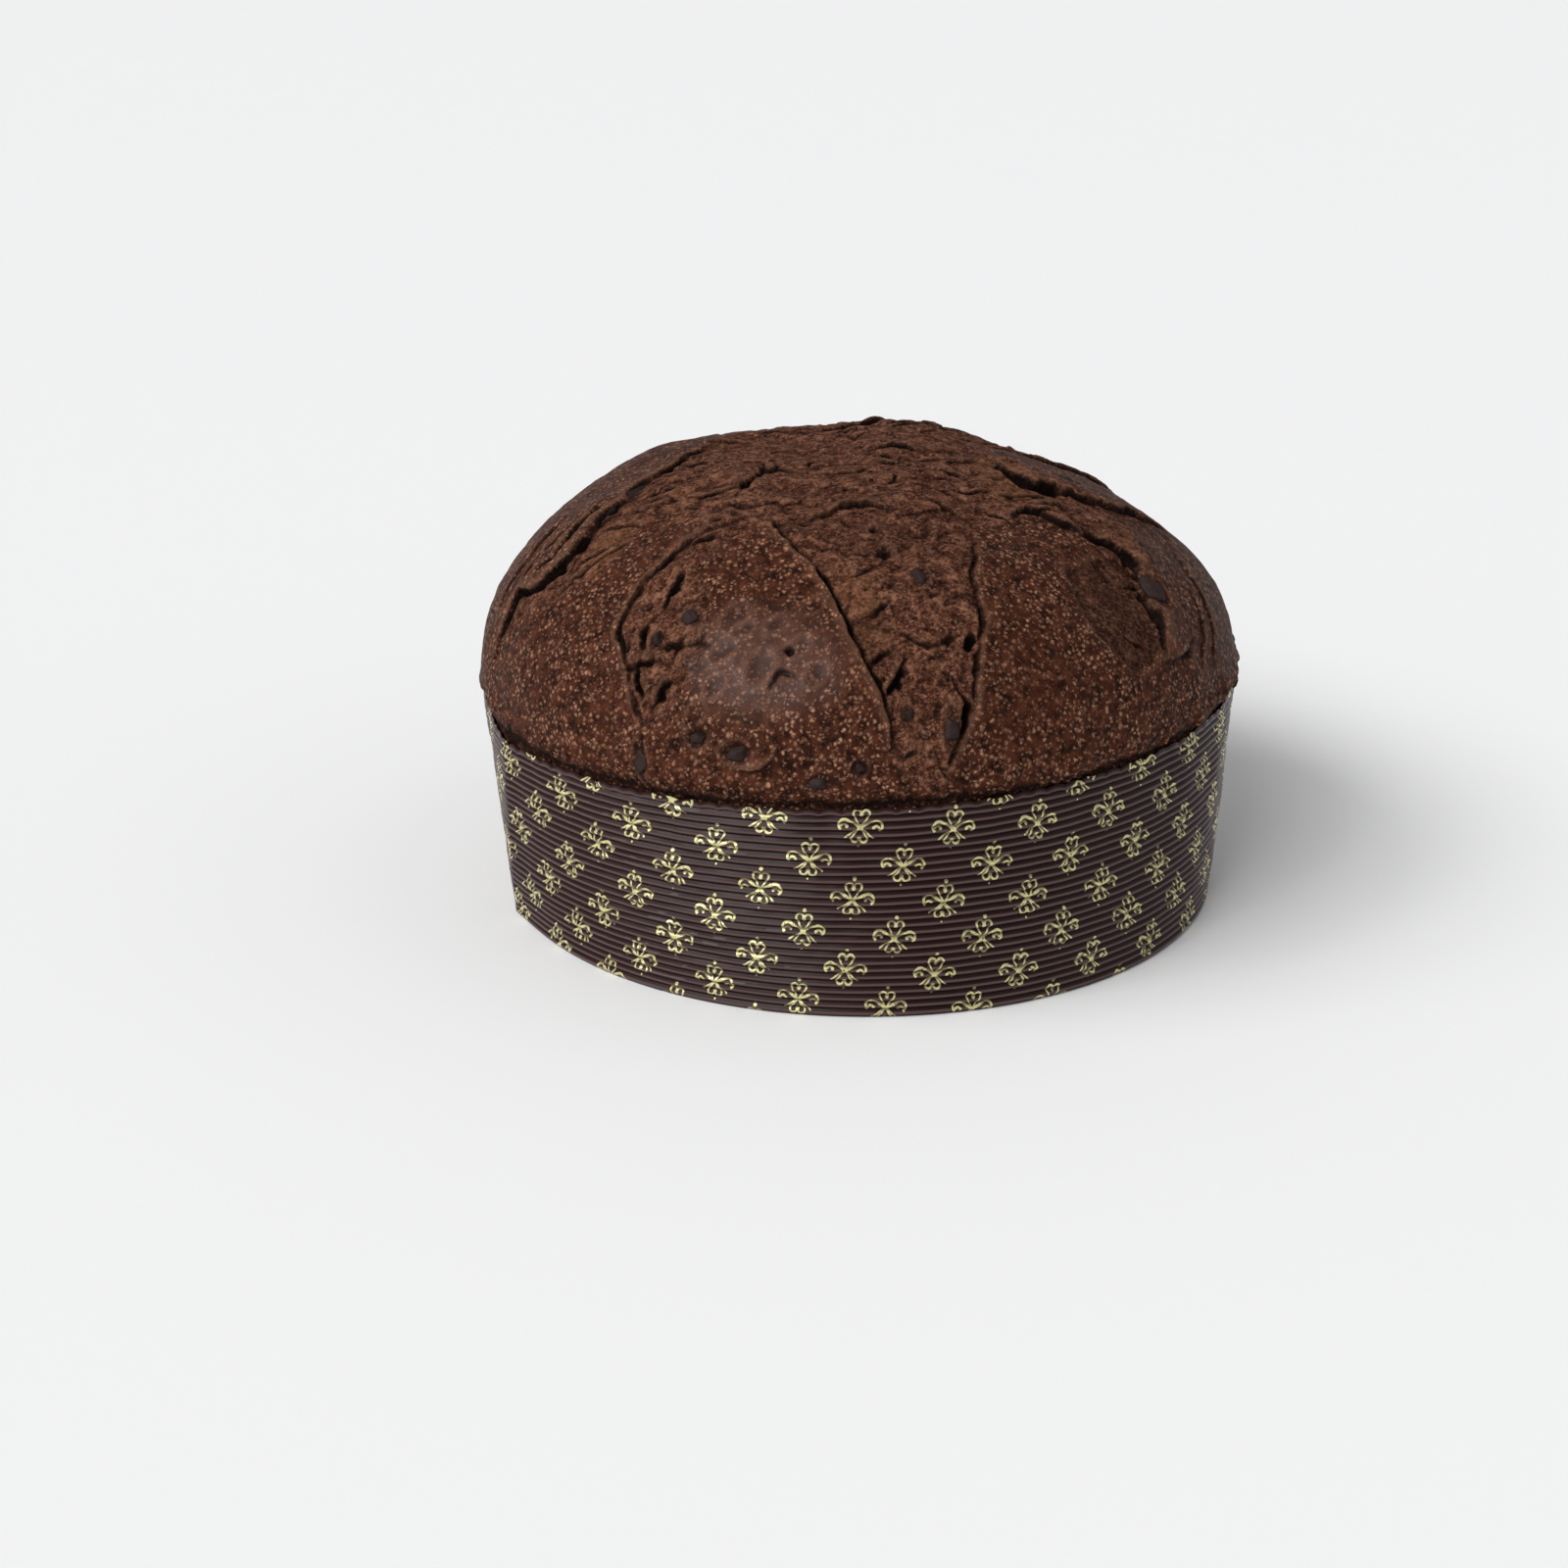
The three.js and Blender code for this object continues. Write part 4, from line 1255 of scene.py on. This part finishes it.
# %% Draw the ornament
def draw_ornament(tree, spot):
    """1 on the ink and 0 beside it; spot is the place in the cell, x mirrored, in mm."""
    drawn_parts = []
    for centre, radius, middle, half_span, width in ARCS:
        local = add_node(tree, "VectorMath", {0: spot, 1: (*centre, 0)}, operation="SUBTRACT")
        reach = add_node(tree, "VectorMath", {0: local}, operation="LENGTH").outputs["Value"]
        ring = add_node(tree, "Math", {0: reach, 1: radius, 2: width / 2}, operation="COMPARE")
        turn = math.radians(middle)
        facing = (math.cos(turn), math.sin(turn), 0)
        ahead = add_node(tree, "VectorMath", {0: local, 1: facing}, operation="DOT_PRODUCT")
        limit = radius * math.cos(math.radians(half_span))
        gate = add_node(tree, "Math", {0: ahead.outputs["Value"], 1: limit}, operation="GREATER_THAN")
        drawn_parts.append(add_node(tree, "Math", {0: ring, 1: gate}, operation="MULTIPLY"))
    for start, end, width in STROKES:
        span = (end[0] - start[0], end[1] - start[1], 0)
        local = add_node(tree, "VectorMath", {0: spot, 1: (*start, 0)}, operation="SUBTRACT")
        along = add_node(tree, "VectorMath", {0: local, 1: span}, operation="DOT_PRODUCT")
        share = add_node(tree, "Math", {0: along.outputs["Value"], 1: span[0] ** 2 + span[1] ** 2},
                         operation="DIVIDE", use_clamp=True)
        foot = add_node(tree, "VectorMath", {0: span, "Scale": share}, operation="SCALE")
        away = add_node(tree, "VectorMath", {0: local, 1: foot}, operation="DISTANCE").outputs["Value"]
        drawn_parts.append(add_node(tree, "Math", {0: away, 1: width / 2}, operation="LESS_THAN"))
    for centre, radius in DOTS:
        away = add_node(tree, "VectorMath", {0: spot, 1: (*centre, 0)}, operation="DISTANCE")
        drawn_parts.append(
            add_node(tree, "Math", {0: away.outputs["Value"], 1: radius}, operation="LESS_THAN")
        )
    ink = drawn_parts[0]
    for part in drawn_parts[1:]:
        ink = add_node(tree, "Math", {0: ink, 1: part}, operation="MAXIMUM")
    return ink


# %% [markdown]
# The print repeats because its coordinates are folded into one cell: a remainder brings every place
# back to a single ornament. Each column is shifted by half a row against the one before it, and the
# whole sheet was printed a few degrees askew. The coordinates are a UV map in millimetres.

# %% Repeat the ornament over the band
COLUMN_PITCH = 11.8  # mm between columns of ornaments
ROW_PITCH = 20.5
PRINT_LEAN = math.radians(5)
FIRST_COLUMN = 7.3
FIRST_ROW = 24.0

paper_material, tree, shader = start_material("printed_corrugated_kraft", IOR=1.45, Specular_IOR_Level=0.2)
place = add_node(tree, "TexCoord").outputs["Object"]
laid_out = add_node(tree, "UVMap", uv_map="print_mm")
straight = add_node(tree, "VectorRotate", {"Vector": laid_out, "Angle": PRINT_LEAN},
                    rotation_type="Z_AXIS")
axes = add_node(tree, "SeparateXYZ", {0: straight})
column_place = add_node(tree, "Math", {0: axes.outputs["X"], 1: FIRST_COLUMN - COLUMN_PITCH / 2},
                        operation="SUBTRACT")
column_share = add_node(tree, "Math", {0: column_place, 1: COLUMN_PITCH}, operation="DIVIDE")
column_number = add_node(tree, "Math", {0: column_share}, operation="FLOOR")
stagger = add_node(tree, "Math", {0: column_number, 1: ROW_PITCH / 2}, operation="MULTIPLY")
row_place = add_node(tree, "Math", {0: axes.outputs["Y"], 1: FIRST_ROW - ROW_PITCH / 2},
                     operation="SUBTRACT")
row_moved = add_node(tree, "Math", {0: row_place, 1: stagger}, operation="SUBTRACT")
x_cell = add_node(tree, "Math", {0: column_place, 1: COLUMN_PITCH}, operation="FLOORED_MODULO")
y_cell = add_node(tree, "Math", {0: row_moved, 1: ROW_PITCH}, operation="FLOORED_MODULO")
x_centred = add_node(tree, "Math", {0: x_cell, 1: COLUMN_PITCH / 2}, operation="SUBTRACT")
x_mirrored = add_node(tree, "Math", {0: x_centred}, operation="ABSOLUTE")
y_centred = add_node(tree, "Math", {0: y_cell, 1: ROW_PITCH / 2}, operation="SUBTRACT")
spot = add_node(tree, "CombineXYZ", {0: x_mirrored, 1: y_centred})
ink = draw_ornament(tree, spot)
print("print nodes:", len(tree.nodes))

# %% Where the gold ink has taken
# The press reached the crests of the flutes fully and the valleys only in part.
outside = add_node(tree, "Attribute", attribute_name="outside").outputs["Fac"]
flute = add_node(tree, "Attribute", attribute_name="flute").outputs["Fac"]
worn_ink = add_node(tree, "TexNoise", {"Vector": place, "Scale": per_mm(0.7), "Detail": 3.0})
kept = add_node(tree, "MapRange", {"Value": worn_ink, "From Min": 0.3, "From Max": 0.42})
on_crest = add_node(tree, "MapRange", {"Value": flute, "From Min": 0.1, "From Max": 0.6, "To Min": 0.4})
covered = add_node(tree, "Math", {0: kept, 1: on_crest}, operation="MULTIPLY")
printed = add_node(tree, "Math", {0: ink, 1: outside}, operation="MULTIPLY")
gold = add_node(tree, "Math", {0: printed, 1: covered}, operation="MULTIPLY")
print("nodes so far:", len(tree.nodes))

# %% Colour, sheen and fibre of the paper
# Paper fibres are a few hundredths of a millimetre wide; drawn 1.2 mm coarse, they still show.
fibre = add_node(tree, "TexNoise",
                 {"Vector": place, "Scale": per_mm(1.2), "Detail": 5.0, "Roughness": 0.6})
stain = add_node(tree, "TexNoise", {"Vector": place, "Scale": per_mm(30), "Detail": 3.0})
paper_tone = add_node(tree, "Mix", {"Factor": stain, COLOUR_A: colour("#190a08"),
                                    COLOUR_B: colour("#24110e")}, **IN_COLOUR).outputs[COLOUR_OUT]
# The crests of the flutes are painted paler than the valleys, as painted highlight.
crest_highlight_share = add_node(tree, "MapRange", {"Value": flute, "From Min": 0.5, "From Max": 1.0, "To Max": 0.9})
crest_highlight = add_node(tree, "Mix", {"Factor": crest_highlight_share, COLOUR_A: paper_tone,
                               COLOUR_B: colour("#604a48")}, **IN_COLOUR).outputs[COLOUR_OUT]
gold_tone = add_node(tree, "Mix", {"Factor": fibre, COLOUR_A: colour("#b6ab66"),
                                   COLOUR_B: colour("#f2ebba")}, **IN_COLOUR).outputs[COLOUR_OUT]
paper_colour = add_node(tree, "Mix", {"Factor": gold, COLOUR_A: crest_highlight,
                                      COLOUR_B: gold_tone}, **IN_COLOUR).outputs[COLOUR_OUT]
tree.links.new(paper_colour, shader.inputs["Base Color"])
metal = add_node(tree, "Math", {0: gold, 1: 0.5}, operation="MULTIPLY")
tree.links.new(metal.outputs[0], shader.inputs["Metallic"])
rough = add_node(tree, "MapRange", {"Value": fibre, "To Min": 0.28, "To Max": 0.4})
tree.links.new(rough.outputs[0], shader.inputs["Roughness"])
bump = add_node(tree, "Bump", {"Height": fibre, "Strength": 0.35, "Distance": 0.08 * MM})
tree.links.new(bump.outputs[0], shader.inputs["Normal"])
band.data.materials.append(paper_material)
print("paper material nodes:", len(tree.nodes))

# %% [markdown]
# ### Dark chocolate
# Chocolate that melted and set again in the oven: brown-black, smooth, with a faint grey bloom where
# the fat came out.

# %% Chocolate material
chocolate_material, tree, shader = start_material("dark_chocolate", IOR=1.46, Specular_IOR_Level=0.08)
place = add_node(tree, "TexCoord").outputs["Object"]
bloom = add_node(tree, "TexNoise",
                 {"Vector": place, "Scale": per_mm(2.5), "Detail": 4.0, "Roughness": 0.6})
faces = add_node(tree, "TexVoronoi", {"Vector": place, "Scale": per_mm(1.5)}, feature="SMOOTH_F1")
bloomed = add_node(tree, "Mix", {"Factor": bloom, COLOUR_A: colour("#1b1210"),
                                 COLOUR_B: colour("#3a2d2a")}, **IN_COLOUR).outputs[COLOUR_OUT]
tree.links.new(bloomed, shader.inputs["Base Color"])
rough = add_node(tree, "MapRange", {"Value": bloom, "From Min": 0.3, "From Max": 0.7,
                                    "To Min": 0.42, "To Max": 0.62})
tree.links.new(rough.outputs[0], shader.inputs["Roughness"])
bump = add_node(tree, "Bump", {"Height": faces.outputs["Distance"], "Strength": 0.5, "Distance": 0.3 * MM})
tree.links.new(bump.outputs[0], shader.inputs["Normal"])
for piece in chunks:
    piece.data.materials.clear()
    piece.data.materials.append(chocolate_material)
print("pieces of chocolate:", len(chunks))

# %% [markdown]
# ### Tray paper and floor
# The base tray is brown greaseproof paper: matt, slightly mottled by fat from the dough. Its fibres
# are drawn 0.9 mm coarse so that they show. The CAD shape of the tray is right and stays, so it only
# gets this material. The floor is plain and nearly white.

# %% Tray and floor materials
tray_material, tree, shader = start_material("greaseproof_paper", IOR=1.5)
place = add_node(tree, "TexCoord").outputs["Object"]
mottle = add_node(tree, "TexNoise",
                  {"Vector": place, "Scale": per_mm(18), "Detail": 5.0, "Roughness": 0.6})
fibre = add_node(tree, "TexNoise", {"Vector": place, "Scale": per_mm(0.9), "Detail": 4.0})
greased = add_node(tree, "Mix", {"Factor": mottle, COLOUR_A: colour("#33241f"),
                                 COLOUR_B: colour("#56413a")}, **IN_COLOUR).outputs[COLOUR_OUT]
tree.links.new(greased, shader.inputs["Base Color"])
rough = add_node(tree, "MapRange", {"Value": mottle, "To Min": 0.5, "To Max": 0.8})
tree.links.new(rough.outputs[0], shader.inputs["Roughness"])
bump = add_node(tree, "Bump", {"Height": fibre, "Strength": 0.4, "Distance": 0.1 * MM})
tree.links.new(bump.outputs[0], shader.inputs["Normal"])
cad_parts["base_tray"].data.materials[0] = tray_material

floor_material, tree, shader = start_material("pale_floor", Roughness=0.8)
shader.inputs["Base Color"].default_value = colour("#ececec")
floor.data.materials.append(floor_material)
print("materials:", sorted(material.name for material in bpy.data.materials))
